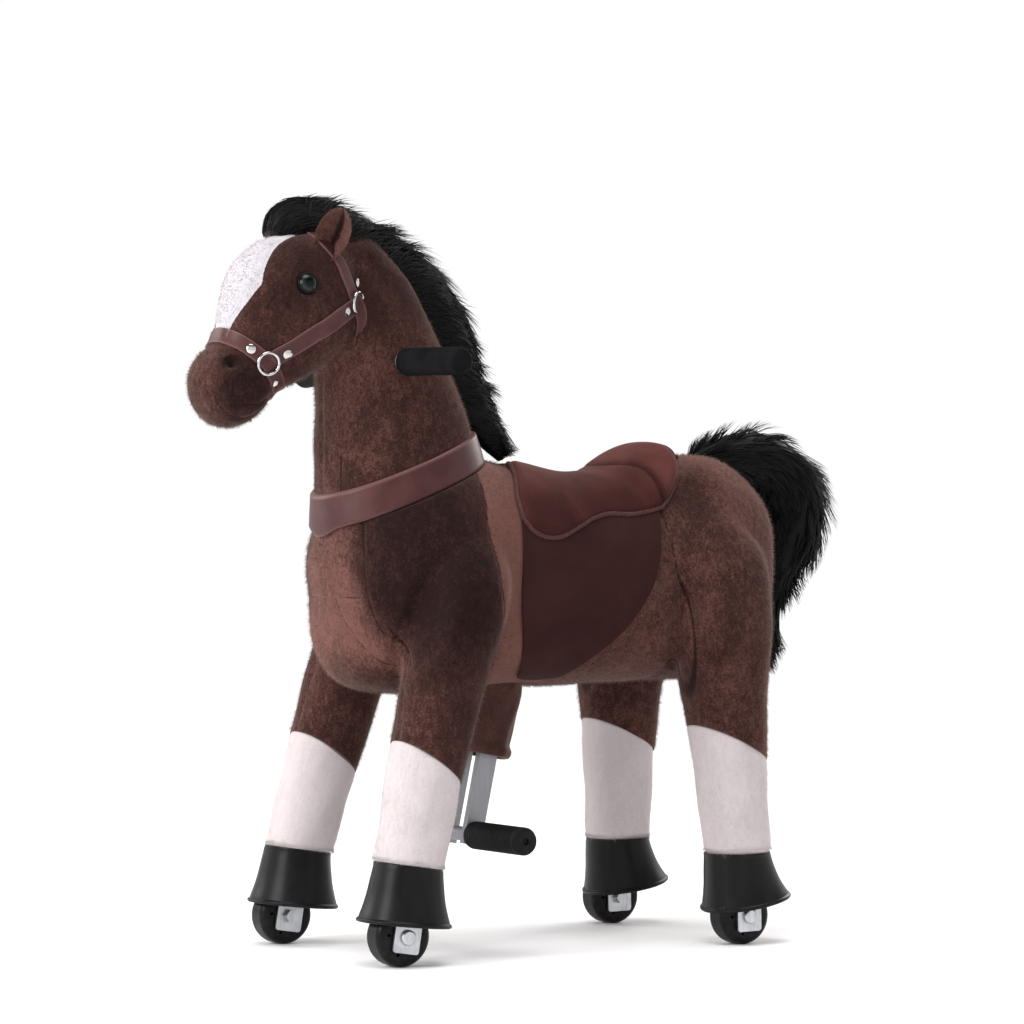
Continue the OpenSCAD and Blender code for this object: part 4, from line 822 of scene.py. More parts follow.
saddle_inner = torso_at(saddle_x, saddle_angle, -0.004)
saddle = slab_piece("saddle_pad", [(saddle_outer, saddle_inner)], saddle_suede, "body")
# Painted light: the suede is lighter towards the saddle's top and on the cantle, where light falls.
saddle_lit_top = 0.85 * smooth_step(saddle_outer[..., 2], 0.425, 0.485) + 0.25 * cantle
paint(saddle, "seam", np.concatenate([crease.ravel(), np.zeros(crease.size)]))
paint(saddle, "nap", np.concatenate([saddle_lit_top.ravel(), np.zeros(crease.size)]))
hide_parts("saddle")


def cord(path, out, radius, sides=10):
    """Rings of a cord along a path, turned by the direction that looks out from its surface."""
    way = unit(np.gradient(path, axis=0))
    across = unit(np.cross(way, out))
    return rings(path, across * radius, np.cross(across, way) * radius, 2, sides)


saddle_rim = np.concatenate([saddle_flat[:, 0], saddle_flat[-1], saddle_flat[::-1, -1], saddle_flat[0, ::-1]])
rim_place = torso_at(saddle_rim[:, 0], saddle_rim[:, 1], 0.0052)
rim_out = torso_at(saddle_rim[:, 0], saddle_rim[:, 1], 0.02) - rim_place
piping_place = Shade.finish("piping_cloth", {"Roughness": 0.85, "Specular IOR Level": 0.15})
piping_twill = piping_place.noise(420, 2, twist=0.4)
piping_cloth = piping_place.surface({
    "Base Color": piping_twill.ramp((0.3, (0.044, 0.0185, 0.0165)), (0.7, (0.082, 0.036, 0.032))),
    "Normal": piping_twill.bump(0.3, 0.0005)})
saddle_cord = tubes("saddle_cord", [cord(rim_place, rim_out, 0.0024)], piping_cloth, "body")


# Saddle cloth: one thin suede panel a side, sewn down flat from under the saddle's edge to
# the belly, its rear edge cut in a curve.
panel_place = Shade.finish("cloth_suede", {
    "Roughness": 0.95, "Specular IOR Level": 0.08, "Sheen Weight": 0.12, "Sheen Roughness": 0.35,
    "Sheen Tint": (1.0, 0.75, 0.7, 1)})
panel_rub = panel_place.noise(10, 4, (1, 1, 0.7), 1.5)
panel_nap = panel_place.noise(900, 2)
cloth_suede = panel_place.surface({
    "Base Color": (panel_rub * 0.7 + panel_nap * 0.3).ramp(
        (0.25, (0.019, 0.0068, 0.0064)), (0.5, (0.029, 0.0105, 0.0098)), (0.75, (0.042, 0.0162, 0.0152))),
    "Normal": (panel_nap * 0.6 + panel_rub * 0.4).bump(0.2, 0.0005)})
panel_flat = coons(
    side_points([(0.056, 0.438), (0.061, 0.390), (0.062, 0.343), (0.052, 0.303), (0.038, 0.270)]),
    side_points([(-0.108, 0.438), (-0.098, 0.382), (-0.082, 0.343), (-0.058, 0.310), (-0.034, 0.288),
                 (-0.010, 0.270)]),
    side_points([(0.056, 0.438), (0.0, 0.438), (-0.055, 0.438), (-0.108, 0.438)]),
    side_points([(0.038, 0.270), (0.025, 0.268), (0.010, 0.268), (-0.010, 0.270)]),
    np.linspace(0, 1, 60), np.linspace(0, 1, 70))
panel_x, panel_angle = panel_flat[..., 0], panel_flat[..., 1]
panel_wave = 0.0006 * np.sin(60 * panel_x + 3 * panel_angle) * np.sin(4 * panel_angle + 1)
panel_outer = torso_at(panel_x, panel_angle, 0.0046 + panel_wave)
panel_inner = torso_at(panel_x, panel_angle, 0.0022 + panel_wave)
panels = []
for name, flip in (("left", 1), ("right", -1)):
    panel = slab_piece(name + "_saddle_cloth", [(panel_outer * (1, flip, 1), panel_inner * (1, flip, 1))],
                       cloth_suede, "body")
    panels.append(panel)
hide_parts("saddle_cloth")


# Neck and head: the same plush, stuffed hard over the steering post, with a white blaze let
# in down the face, sewn nostrils and mouth, and shaped cheeks and brows.
head_tilt = math.radians(51.7)
head_point = np.array((0.228, 0, 0.66803))
head_way = np.array((math.cos(head_tilt), 0, -math.sin(head_tilt)))
head_face = np.array((math.sin(head_tilt), 0, math.cos(head_tilt)))
head_rows = through([
    (-0.127, 0.06, -0.06, 0.07), (-0.09, 0.19, -0.19, 0.25), (0, 0.36, -0.34, 0.4),
    (0.127, 0.485, -0.455, 0.48), (0.273, 0.5, -0.5, 0.5), (0.409, 0.425, -0.415, 0.437),
    (0.523, 0.34, -0.333, 0.357), (0.6, 0.295, -0.28, 0.32), (0.69, 0.318, -0.295, 0.357),
    (0.782, 0.273, -0.242, 0.34), (0.85, 0.15, -0.136, 0.214), (0.877, 0.04, -0.04, 0.054)], 8)
head_long, head_deep, head_wide = 0.220, 0.132, 0.112
head_rows = head_rows * (head_long, head_deep, head_deep, head_wide)


def head_at(x, angle, grow=0.0):
    """Point of the head's skin at a distance down the face and an angle round it, let out by grow."""
    top, low, half = (np.interp(x, head_rows[:, 0], head_rows[:, i]) for i in (1, 2, 3))
    c, s = rounded(angle, limb_power)
    rise = (top + low) / 2 + ((top - low) / 2 + grow) * s
    return (head_point + np.asarray(x)[..., None] * head_way + rise[..., None] * head_face
            + ((half + grow) * c)[..., None] * (0, 1, 0))


def head_angle(x, rise):
    """Angle at which the head's side stands at a rise off its middle line: the superellipse turned round."""
    top, low = (np.interp(x, head_rows[:, 0], head_rows[:, i]) for i in (1, 2))
    s = np.clip((rise - (top + low) / 2) / ((top - low) / 2), -1, 1)
    return np.arcsin(np.sign(s) * abs(s) ** (limb_power / 2))


head_grid = head_at(head_rows[:, :1] + 0 * around, np.tile(around, (len(head_rows), 1)))
head_rounds, head_let_out = 16, 0.001
head = stuffed("head_and_neck", [neck_grid, head_grid], plush, skin_voxel, head_rounds)
place, normal = corners(head)
place = place + normal * head_let_out
down_face, off_face = (place - head_point) @ head_way, (place - head_point) @ head_face
out_side = abs(place[:, 1])
local = np.stack([down_face, out_side, off_face], -1)


def dome(centre, radius):
    """Soft bump of height 1 at a place on the head: exp(-(distance/radius)^2)."""
    return np.exp(-(np.linalg.norm(local - np.array(centre), axis=1) / radius) ** 2)


eye_at = (0.0427, 0.052, 0.0185)
nostril = (0.1457, 0.033, 0.0264)
swell = (0.0012 * dome((0.056, 0.050, -0.022), 0.030) + 0.0030 * dome((0.034, 0.046, 0.038), 0.016)
         + 0.0026 * dome((0.120, 0.034, 0.005), 0.022) - 0.0060 * dome(eye_at, 0.0125)
         - 0.0030 * dome((0.070, 0.048, 0.012), 0.018) - 0.0034 * dome((0.098, 0.040, 0.022), 0.020)
         - 0.0115 * dome(nostril, 0.0070) + 0.0032 * dome(nostril, 0.017)
         - 0.0050 * dome((0.150, 0.0, -0.036), 0.026))
blaze_half = np.interp(down_face, (-0.02, 0.0145, 0.045, 0.069, 0.09, 0.112, 0.135),
                       (0.018, 0.025, 0.033, 0.038, 0.029, 0.018, 0.010))
blaze_in = np.where((off_face > 0.02) & (down_face < 0.126), blaze_half - out_side, -0.02)
side_of_head = local[:, [0, 2]]
mouth = off_line(side_of_head, [(0.158, 0.0207), (0.168, 0.010), (0.177, -0.0006), (0.181, -0.012)])
chin_line = off_line(side_of_head, [(0.177, -0.0006), (0.160, -0.020), (0.140, -0.030)])
throat = (normal[:, 0] > 0.3) & (place[:, 2] < 0.57) & (place[:, 0] < 0.25)
nose_panel, nose_half = (off_face < 0.022) & (down_face > 0.140), 0.027
seam_off = np.minimum.reduce([
    np.where(out_side > 0.012, mouth, 1.0), chin_line, abs(blaze_in),
    np.where(throat, out_side, 1.0), np.where(nose_panel, abs(out_side - nose_half), 1.0)])
lump = np.sin(place @ (61, 43, 51)) * np.sin(place @ (-37, 57, 49) + 1.3)
place = place + normal * (swell - 0.0014 * np.exp(-(seam_off / 0.0026) ** 2) + 0.0008 * lump)[:, None]
reshape_points(head, place)
paint(head, "seam", np.maximum(seam_mark(seam_off), 5.5 * dome(nostril, 0.0082)))
# Painted light and shade: faces turned to the front painted lighter, as lit from there; the neck under the
# head lighter and the rest darker; the sides below the nose panel darker; the nostrils dark.
paint(head, "nap", 0.5 * smooth_step(normal[:, 0], 0.2, 0.95)
      + 0.7 * smooth_step(place[:, 2], 0.64, 0.58) * smooth_step(place[:, 0], 0.27, 0.24)
      - 0.5 - 0.6 * nose_panel * (out_side > nose_half) - 5 * dome(nostril, 0.0062))
paint(head, "blaze", np.clip(blaze_in * 1000, -5, 5) + 5)
head_cuts = [(collar_point, -steer_axis)]
trimmed(head, head_cuts)
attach(head, "head")
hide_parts("head", "neck")


# Ears: two layers of plush sewn into a cupped leaf, folded at the root and stitched to the
# sides of the head.
head_basis = np.stack([head_way, (0, 1, 0), head_face], 1)
ear_rows, ear_columns, ear_length, ear_root = 34, 25, 0.060, 0.004


def turned(axis, degrees):
    """Matrix of a turn about X, Y or Z (0, 1 or 2)."""
    c, s = math.cos(math.radians(degrees)), math.sin(math.radians(degrees))
    a, b = ((1, 2), (2, 0), (0, 1))[axis]
    matrix = np.eye(3)
    matrix[a, a], matrix[a, b], matrix[b, a], matrix[b, b] = c, -s, s, c
    return matrix


def ear_sheets(side):
    """Leaf of half width w(t), cupped across: local X looks into the cup, Z runs up the ear."""
    t, s = np.linspace(0, 1, ear_rows)[:, None], np.linspace(-1, 1, ear_columns)[None]
    half = 0.036 * np.interp(t, (0, 0.12, 0.3, 0.5, 0.72, 0.88, 0.96, 1),
                             (0.17, 0.27, 0.40, 0.47, 0.43, 0.30, 0.17, 0.03))
    cup = half * (1.35 - 0.6 * t) * (1 - abs(s) ** 1.5) + 0.004 * np.sin(np.pi * t)
    thick = 0.0030 * np.sqrt(1 - 0.85 * s ** 4) * (1 - 0.45 * t)
    onto = head_basis @ turned(1, -65) @ turned(0, -side * 29) @ turned(2, side * 50)
    base = head_point + head_basis @ (0.0130, side * 0.0425, 0.0180)
    up = t * ear_length - ear_root + 0 * s
    return [np.stack([lift * thick - cup, s * half, up], -1) @ onto.T + base for lift in (1, -1)]


ears = slab_piece("ear_leaves", [ear_sheets(1), ear_sheets(-1)], plush, "head")
# Painted shade: a dark line down the middle of the cup, where the ear folds; the cup is lighter than its
# back.
ear_crease_shade = np.tile(np.exp(-((np.linspace(-1, 1, ear_columns) - 0.05) / 0.16) ** 2), ear_rows)
paint(ears, "nap", np.tile(np.concatenate([0.9 - 4.2 * ear_crease_shade, np.full(ear_crease_shade.size, 0.6)]), 2))
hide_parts("ears")


# Eyes: domed glass-clear plastic over a painted grey green iris, on a shank through the
# plush, in a black lid ring.
eye_place = Shade.finish("eye_gloss", {
    "Coat Weight": 0.05, "Coat Roughness": 0.02, "Specular IOR Level": 0.14})
eye_reach = eye_place.painted("reach")
eye_ray = eye_place.noise(420, 3)
eye_gloss = eye_place.surface({
    "Base Color": (eye_reach + eye_ray * 0.05).ramp(
        (0.0, (0.0015, 0.0015, 0.0015)), (0.40, (0.002, 0.002, 0.002)), (0.50, (0.009, 0.011, 0.0105)),
        (0.72, (0.020, 0.025, 0.024)), (0.80, (0.004, 0.004, 0.004)), (1.0, (0.003, 0.003, 0.003))),
    "Roughness": eye_reach.between(0.75, 0.85) * 0.3 + 0.04 + eye_ray * 0.02})


def turned_profile(base, out, profile, sides):
    """Rows of radius and rise turned about out: base + radius*(first*cos + second*sin) + rise*out."""
    first = unit(np.cross(out, (0, 0, 1.0)))
    turn = circle(sides)[None, :, None]
    spin = np.cos(turn) * first + np.sin(turn) * np.cross(out, first)
    return base + profile[:, :1, None] * spin + profile[:, 1:, None] * out


eye_radius, eye_sides = 0.0104, 40
eye_profile = through([
    (0.0001, 0.0052), (0.003, 0.0049), (0.006, 0.0037), (0.0080, 0.0020), (0.0088, 0.0012),
    (0.0098, 0.0016), (eye_radius, 0.0004), (0.0102, -0.004), (0.0001, -0.005)], 4)


def eye_grid(side):
    """Dome of radius 10 mm turned about the direction the cheek looks."""
    x, angle = np.array(eye_at[0]), head_angle(np.array(eye_at[0]), np.array(eye_at[2]))
    out = np.cross(head_at(x + 0.002, angle) - head_at(x - 0.002, angle),
                   head_at(x, angle + 0.02) - head_at(x, angle - 0.02))
    out = out * np.sign(out[1]) / np.linalg.norm(out) * (1, side, 1)
    return turned_profile(head_at(x, angle) * (1, side, 1), out, eye_profile, eye_sides)


eyes = tubes("eye_domes", [eye_grid(1), eye_grid(-1)], eye_gloss, "head")
eye_reaches = np.append(np.repeat(eye_profile[:, 0] / eye_radius, eye_sides), (0, 0))
paint(eyes, "reach", np.tile(eye_reaches, 2))
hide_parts("eyes")


# Mane and tail: long black pile on a woven backing, the mane sewn along the crest from the
# collar to the forelock and the tail stuffed round a core.
hair_place = Shade.finish("hair_pile", {
    "Specular IOR Level": 0.12, "Sheen Weight": 0.04, "Sheen Roughness": 0.3})
hair_tint = hair_place.painted("tint")
hair = hair_place.surface({
    "Base Color": (hair_tint * 0.8 + hair_place.noise(120, 3) * 0.2).ramp(
        (0.1, (0.003, 0.003, 0.0034)), (0.6, (0.006, 0.006, 0.0066)), (0.95, (0.013, 0.0125, 0.013))),
    "Roughness": 0.5 + hair_place.noise(400) * 0.2})
chance = np.random.default_rng(7)
lock_s = np.linspace(0, 1, 6)[None]


def on_rings(rows, t, angle, reach):
    """Point at a share t along bent rings, an angle round them and a reach from their middle line."""
    step = t * (len(rows) - 1)
    at = [np.interp(step, np.arange(len(rows)), rows[:, i]) for i in range(4)]
    way = unit(np.gradient(rows[:, :2], axis=0))
    wx, wz = (np.interp(step, np.arange(len(rows)), way[:, i]) for i in (0, 1))
    up = reach * at[2] * np.sin(angle)
    return np.stack([at[0] - wz * up, reach * at[3] * np.cos(angle), at[1] + wx * up], -1)


def locks(rows, t, angle, rise, width):
    """Tapered locks over bent rings, from columns of t, angle and rise off the surface along each lock."""
    deep, half = (np.interp(t * (len(rows) - 1), np.arange(len(rows)), rows[:, i]) for i in (2, 3))
    path = on_rings(rows, t, angle, 1 + rise / np.sqrt(deep * half))
    out = path - on_rings(rows, t, angle, 0.0)
    way = unit(np.gradient(path, axis=1), 1e-9)
    across = unit(np.cross(way, out), 1e-9)
    up = np.cross(across, way)
    count = len(path)
    taper = (1 - lock_s ** 2.2 * 0.96) * (0.5 + 0.5 * np.sin(np.pi * np.clip(lock_s * 1.4, 0, 0.5)))
    thick = width * chance.uniform(0.6, 1.3, (count, 1)) * taper
    corner = np.arange(3) * np.pi * 2 / 3
    ring = (path[:, :, None] + (thick[..., None] * np.cos(corner))[..., None] * across[:, :, None]
            + (thick[..., None] * np.sin(corner) * 0.55)[..., None] * up[:, :, None])
    tint = np.repeat(chance.uniform(0, 1, (count, 1)) * 0.6 + 0.4 * lock_s, 3, 1).reshape(count, -1)
    return ring, tint


def hair_piece(name, core, bunches, body, node):
    """Dark core with the locks of several bunches on it, in one mesh."""
    points, faces = tube(core)
    tints = [np.zeros(len(points))]
    points, count = [points], len(points)
    for ring, tint in bunches:
        n, m = ring.shape[:2]
        base = (count + np.arange(n) * m * 3)[:, None, None]
        i, k = np.meshgrid(np.arange(m - 1), np.arange(3), indexing="ij")
        a, b = (i * 3 + k).ravel(), (i * 3 + (k + 1) % 3).ravel()
        last = m * 3 - 3
        faces += (base + np.stack([a, b, b + 3, a + 3], -1)[None]).reshape(-1, 4).tolist()
        faces += (base + np.array([(2, 1, 0), (last, last + 1, last + 2)])[None]).reshape(-1, 3).tolist()
        points.append(ring.reshape(-1, 3))
        tints.append(tint.ravel())
        count += n * m * 3
    piece = shown(name, np.vstack(points), faces, hair, body)
    paint(piece, "tint", np.concatenate(tints))
    outward(piece)
    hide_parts(node)
    return piece


hair_thick = 0.076
mane_rows = through([
    (-0.362, 0.315, 0.05, 0.06), (-0.318, 0.385, 0.20, 0.18), (-0.255, 0.475, 0.31, 0.23),
    (-0.19, 0.58, 0.38, 0.26), (-0.13, 0.71, 0.43, 0.29), (-0.035, 0.840, 0.45, 0.31),
    (0.105, 0.928, 0.44, 0.34), (0.24, 0.998, 0.42, 0.37), (0.345, 1.030, 0.39, 0.36),
    (0.415, 1.020, 0.34, 0.32), (0.455, 0.985, 0.18, 0.22)], 6)
mane_rows = mane_rows * (neck_rise, neck_rise, hair_thick, hair_thick) + (front_pivot, pivot_height, 0, 0)


def some(low, high, count):
    """Column of seeded even chances between low and high."""
    return chance.uniform(low, high, (count, 1))


def tufts(count, groups, spread):
    """Seeded numbers from -1 to 1 that gather round a few values, for locks that cling together."""
    middle = chance.uniform(-1, 1, groups)[chance.integers(0, groups, (count, 1))]
    return middle + chance.normal(0, spread, (count, 1))


def crest_locks(count, starts, angles, run, sweep, rise):
    """Locks combed up the mane's sides to the crest and swept down the neck."""
    tuft = tufts(count, 90, 0.01)
    middle, half = (starts[0] + starts[1]) / 2, (starts[1] - starts[0]) / 2
    t = (middle + half * tuft + some(-0.012, 0.012, count) * (1 - 0.7 * lock_s)
         - some(*sweep, count) * lock_s ** 1.4)
    angle = np.minimum(some(*angles, count) + some(*run, count) * lock_s, some(1.45, 1.75, count))
    far = chance.integers(0, 2, (count, 1))
    lift = some(*rise, count) * (0.6 + 0.5 * np.sin(40 * tuft)) * lock_s ** 1.5 - 0.003 * (1 - lock_s)
    return locks(mane_rows, np.clip(t, 0, 1), np.where(far, np.pi - angle, angle), lift, 0.0009)


hair_core = (1, 1, 0.9, 0.9)
fore_count, nape_count = 1100, 260
fore = some(0.72, 0.97, fore_count)
mane = hair_piece("mane_pile", bent_rings(mane_rows * hair_core, 0, 2, 24), [
    crest_locks(2600, (0.02, 0.86), (-1.2, 0.9), (0.5, 1.0), (0.02, 0.06), (0.0005, 0.003)),
    crest_locks(1900, (0.02, 0.84), (0.8, 1.5), (0.1, 0.4), (0.03, 0.08), (0.003, 0.013)),
    locks(mane_rows, np.clip(fore + some(0.05, 0.14, fore_count) * lock_s, 0, 1),
          some(-0.4, 3.5, fore_count) + 0 * lock_s,
          some(0.0005, 0.004, fore_count) * lock_s - 0.002, 0.0010),
    locks(mane_rows, some(0.02, 0.16, nape_count) * (1 - lock_s), some(0.3, 2.8, nape_count) + 0 * lock_s,
          some(0.004, 0.022, nape_count) * lock_s ** 1.4 - 0.002, 0.0009)], "head", "mane")
tail_rows = through([
    (-0.2, 0.42, 0.12, 0.16), (-0.326, 0.457, 0.20, 0.30), (-0.478, 0.458, 0.29, 0.40),
    (-0.625, 0.410, 0.43, 0.47), (-0.715, 0.265, 0.49, 0.5), (-0.716, 0.095, 0.44, 0.46),
    (-0.635, -0.074, 0.32, 0.38), (-0.596, -0.239, 0.22, 0.28), (-0.574, -0.413, 0.16, 0.2),
    (-0.565, -0.535, 0.04, 0.05)], 6)
tail_rows = tail_rows * (torso_height, torso_height, hair_thick, hair_thick) + (
    rear_pivot, pivot_height, 0, 0)
tail_count, tail_groups = 6000, 420
group = chance.integers(0, tail_groups, (tail_count, 1))
group_t = chance.uniform(0.0, 0.93, tail_groups)[group]
group_turn = chance.uniform(0, 2 * np.pi, tail_groups)[group]
group_lift = (chance.uniform(0.25, 1.0, tail_groups) ** 2)[group]
tail_t = group_t + some(-0.03, 0.03, tail_count) * (1 - 0.75 * lock_s) + some(0.05, 0.10, tail_count) * lock_s
tail_turn = group_turn + some(-0.22, 0.22, tail_count) * (1 - 0.75 * lock_s)
tail_out = 0.15 + 0.85 * np.clip(-np.sin(tail_turn), 0, 1)
hair_piece("tail_pile", bent_rings(tail_rows * hair_core, 0, 2, 24), [
    locks(tail_rows, np.clip(tail_t, 0, 1), tail_turn,
          0.021 * group_lift * tail_out * lock_s ** 1.3 - 0.003 * (1 - lock_s), 0.0010)], "body", "tail")


# Halter: mauve brown leather straps, folded and glued, with chrome rings and rivets at the
# joins; it stays on the head.
leather_place = Shade.finish("tack_leather", {"Specular IOR Level": 0.16, "Coat Roughness": 0.3})
leather_cloud = leather_place.noise(22, 4, twist=0.7)
leather_pore = leather_place.noise(1500, 2)
# Painted highlight: the edges of the straps and the collar are painted lighter along their rolled edges.
leather_edge_highlight = leather_place.painted("edge")
tack_leather = leather_place.surface({
    "Base Color": leather_edge_highlight.mix(leather_cloud.ramp(
        (0.3, (0.046, 0.0145, 0.014)), (0.5, (0.062, 0.021, 0.0205)), (0.72, (0.080, 0.029, 0.028))),
        (0.14, 0.066, 0.064)),
    "Roughness": 0.40 + leather_cloud * 0.2,
    "Coat Weight": 0.05 + leather_cloud * 0.1,
    "Normal": leather_pore.bump(0.12, 0.0002)})
tack_place = Shade.finish("tack_chrome", {"Metallic": 1.0})
tack_film = tack_place.noise(240, 3)
tack_chrome = tack_place.surface({
    "Base Color": tack_film.ramp((0.3, (0.46, 0.44, 0.44)), (0.7, (0.66, 0.64, 0.64))),
    "Roughness": 0.07 + tack_film * 0.12})
dress(tack_chrome, "halter_rings", "halter_rivets")


strap_threads, cheek_width = 9, 0.019


def strap(ends, side=1, width=0.015):
    """Sheet along drawn points (distance down the face, angle round it), held just off the head."""
    x, angle = through(ends, 20).T
    line = head_at(x, angle)
    out = unit(head_at(x, angle, 0.01) - line)
    way = unit(np.gradient(line, axis=0))
    s = np.linspace(-side, side, strap_threads)
    sheet = line[:, None] + (np.cross(way, out) * width / 2)[:, None] * s[:, None] + out[:, None] * 0.006
    return sheet * (1, side, 1)


def at_face(*points):
    """Turns drawn points (down the face, off it) into distances and angles on the head."""
    points = np.array(points, float)
    return np.stack([points[:, 0], head_angle(points[:, 0], points[:, 1])], -1)


nose_turn = np.linspace(0, 2 * np.pi, 25)
nose_ends = np.stack([0.125 + 0.009 * np.clip(-np.sin(nose_turn), 0, 1), nose_turn], -1)
cheek_ring = (0.0198, -0.035)
cheek_ends = at_face((0.124, -0.0013), (0.098, -0.010), (0.072, -0.018), (0.045, -0.027), cheek_ring)
brow_ends = at_face(cheek_ring, (0.008, -0.012), (-0.004, 0.012), (-0.0154, 0.036))
throat_ends = np.vstack([at_face(cheek_ring), [(0.034, -1.15), (0.045, -1.4), (0.050, -1.5707)]])
straps = [strap(nose_ends)]
for side in (1, -1):
    straps += [strap(cheek_ends, side, cheek_width), strap(brow_ends, side), strap(throat_ends, side)]
strap_points, strap_faces, strap_count = [], [], 0
for sheet in straps:
    i, k = np.meshgrid(np.arange(len(sheet) - 1), np.arange(strap_threads - 1), indexing="ij")
    first = (i * strap_threads + k).ravel() + strap_count
    strap_faces += np.stack([first, first + 1, first + strap_threads + 1, first + strap_threads], -1).tolist()
    strap_points.append(sheet.reshape(-1, 3))
    strap_count += len(sheet) * strap_threads
halter = shown("halter_straps", np.vstack(strap_points), strap_faces, tack_leather, None)
# Painted highlight along both edges of each strap.
strap_edge_highlight = np.linspace(-1, 1, strap_threads) ** 8
paint(halter, "edge", np.concatenate([np.tile(strap_edge_highlight, len(sheet)) for sheet in straps]))
press = halter.modifiers.new("press", "SHRINKWRAP")
press.target, press.wrap_mode, press.offset = head, "ABOVE_SURFACE", 0.0002
ease = halter.modifiers.new("ease", "SMOOTH")
ease.factor, ease.iterations = 0.5, 3
thicken = halter.modifiers.new("thicken", "SOLIDIFY")
thicken.thickness, thicken.offset = 0.0020, 1.0
settled(halter)
halter.data.set_sharp_from_angle(angle=0.9)
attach(halter, "head")
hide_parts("halter")

noseband_rivet, rivet_out = np.array((0.3209, 0.0376, 0.5824)), np.array((0.423, 0.906, 0.019))
stud_profile = through([
    (0.0048, -0.0030), (0.0048, 0.0004), (0.0039, 0.0013), (0.0021, 0.0019), (0.0002, 0.0021)], 3)


def stud_grid(side):
    """Domed cap of radius 4.8 mm over the noseband's rivet, turned on the strap's outer face."""
    skin = corners(halter)[0]
    place, out = noseband_rivet * (1, side, 1), rivet_out * (1, side, 1)
    near = np.linalg.norm(skin - place, axis=1) < 0.006
    base = place + out * (((skin - place) @ out)[near].max() - 0.0006)
    return turned_profile(base, out, stud_profile, 20)


tubes("noseband_studs", [stud_grid(1), stud_grid(-1)], tack_chrome, "head")


# Collar: the same leather in a wide band, glued round the foot of the neck, which hides the
# joint where the neck turns on the body.
collar_high = (neck_grid - collar_point) @ steer_axis
collar_rows = np.array([
    (0.0010, -0.004), (0.0008, 0.001), (0.0010, 0.0042), (0.0022, 0.0052), (0.005, 0.0052),
    (0.009, 0.0053), (0.013, 0.0054), (0.017, 0.0054), (0.021, 0.0053), (0.025, 0.0052),
    (0.028, 0.0052), (0.0302, 0.0052), (0.0314, 0.0042), (0.0318, 0.001), (0.0316, -0.004)])
collar_width = 0.032
front_dip = 0.007 * np.exp(-((around - 1.5 * np.pi) / 0.22) ** 2)
collar_grid = np.stack([crossed(neck_grid, collar_high, level - front_dip * (1 - level / collar_width))
                        for level in collar_rows[:, 0]])
collar_out = unit(collar_grid - collar_grid.mean(1, keepdims=True))
collar_grid = collar_grid + collar_out * collar_rows[:, 1, None, None]
collar = tubes("collar_band", [collar_grid], tack_leather, "head")
# Painted highlight along the collar's upper and lower edges.
collar_edge_highlight = np.interp(collar_rows[:, 0], (0.001, 0.0025, 0.029, 0.031), (1, 0, 0, 1))
paint(collar, "edge", np.append(np.repeat(collar_edge_highlight, collar_grid.shape[1]), (0, 0)))
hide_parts("collar")


# Handle grips: black foam tubes with a closed end, pushed on the ends of the bar that runs
# through the neck.
foam_place = Shade.finish("grip_foam", {"Specular IOR Level": 0.04})
foam_cell = foam_place.noise(1100, 3)
grip_foam = foam_place.surface({
    "Base Color": foam_place.noise(40, 4).ramp((0.3, (0.005, 0.005, 0.0056)), (0.7, (0.009, 0.009, 0.010))),
    "Roughness": 0.6 + foam_cell * 0.3,
    "Normal": foam_cell.bump(0.3, 0.0005)})
dress(grip_foam, "grip_left", "grip_right")


# Footpegs: ribbed black rubber sleeves pushed on the cross bar of the pedal frame, each with a
# dimple in its closed end.
peg_place = Shade.finish("peg_rubber", {"Specular IOR Level": 0.12})
peg_dust = peg_place.noise(90, 4)
peg_rubber = peg_place.surface({
    "Base Color": peg_dust.ramp((0.35, (0.005, 0.005, 0.0056)), (0.7, (0.012, 0.0117, 0.012))),
    "Roughness": 0.45 + peg_dust * 0.3,
    "Normal": peg_place.noise(1400, 2).bump(0.4, 0.0004)})
peg_radius, peg_length, peg_pitch = 0.0138, 0.098, 0.0042
peg_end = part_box("pedal_grips")[1][1]
peg_run = np.arange(0.0025, peg_length - 0.0045, peg_pitch / 6)
peg_ribs = np.stack([peg_radius - 0.0005 * (1 - np.cos(2 * np.pi * peg_run / peg_pitch)), peg_run], -1)
peg_profile = np.vstack([
    [(0.0072, 0.004), (0.0072, 0.0), (0.0118, 0.0), (0.0130, 0.0010)], peg_ribs,
    [(0.0136, peg_length - 0.0030), (0.0126, peg_length - 0.0010), (0.0108, peg_length)],
    [(0.0046, peg_length), (0.0036, peg_length - 0.0006), (0.0034, peg_length - 0.0030)]])


def peg_grid(side):
    """Ribbed profile of radius and run turned about the cross bar, out to one side."""
    turn = circle(40)
    radius, run = peg_profile.T[..., None]
    y = side * (peg_end - peg_length + run)
    return np.stack([peg_middle[0] + radius * np.cos(turn), y + 0 * turn,
                     peg_middle[2] + radius * np.sin(turn)], -1)


pegs = tubes("peg_sleeves", [peg_grid(1), peg_grid(-1)], peg_rubber, "pedals")
pegs.data.set_sharp_from_angle(angle=0.9)
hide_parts("pedal_grips")


# Pile: the short fibres of the plush, that stand off its backing and lean down and back, except
# where the saddle, straps and collar press on them.
def pressed(points, covers, cell=0.003):
    """True for points within a cell or so of some pieces, read off a grid of cells round their corners."""
    step = np.stack(np.meshgrid(*[(-1, 0, 1)] * 3, indexing="ij"), -1).reshape(-1, 3)
    cells = np.floor(np.vstack([corners(c)[0] for c in covers]) / cell).astype(np.int64)
    key = np.array((1, 4096, 4096 * 4096))
    taken = np.unique((cells[:, None] + step).reshape(-1, 3) @ key)
    return np.isin(np.floor(points / cell).astype(np.int64) @ key, taken)


fibre_radius, root_sunk, seam_clear = 0.00017, 0.0003, 0.8


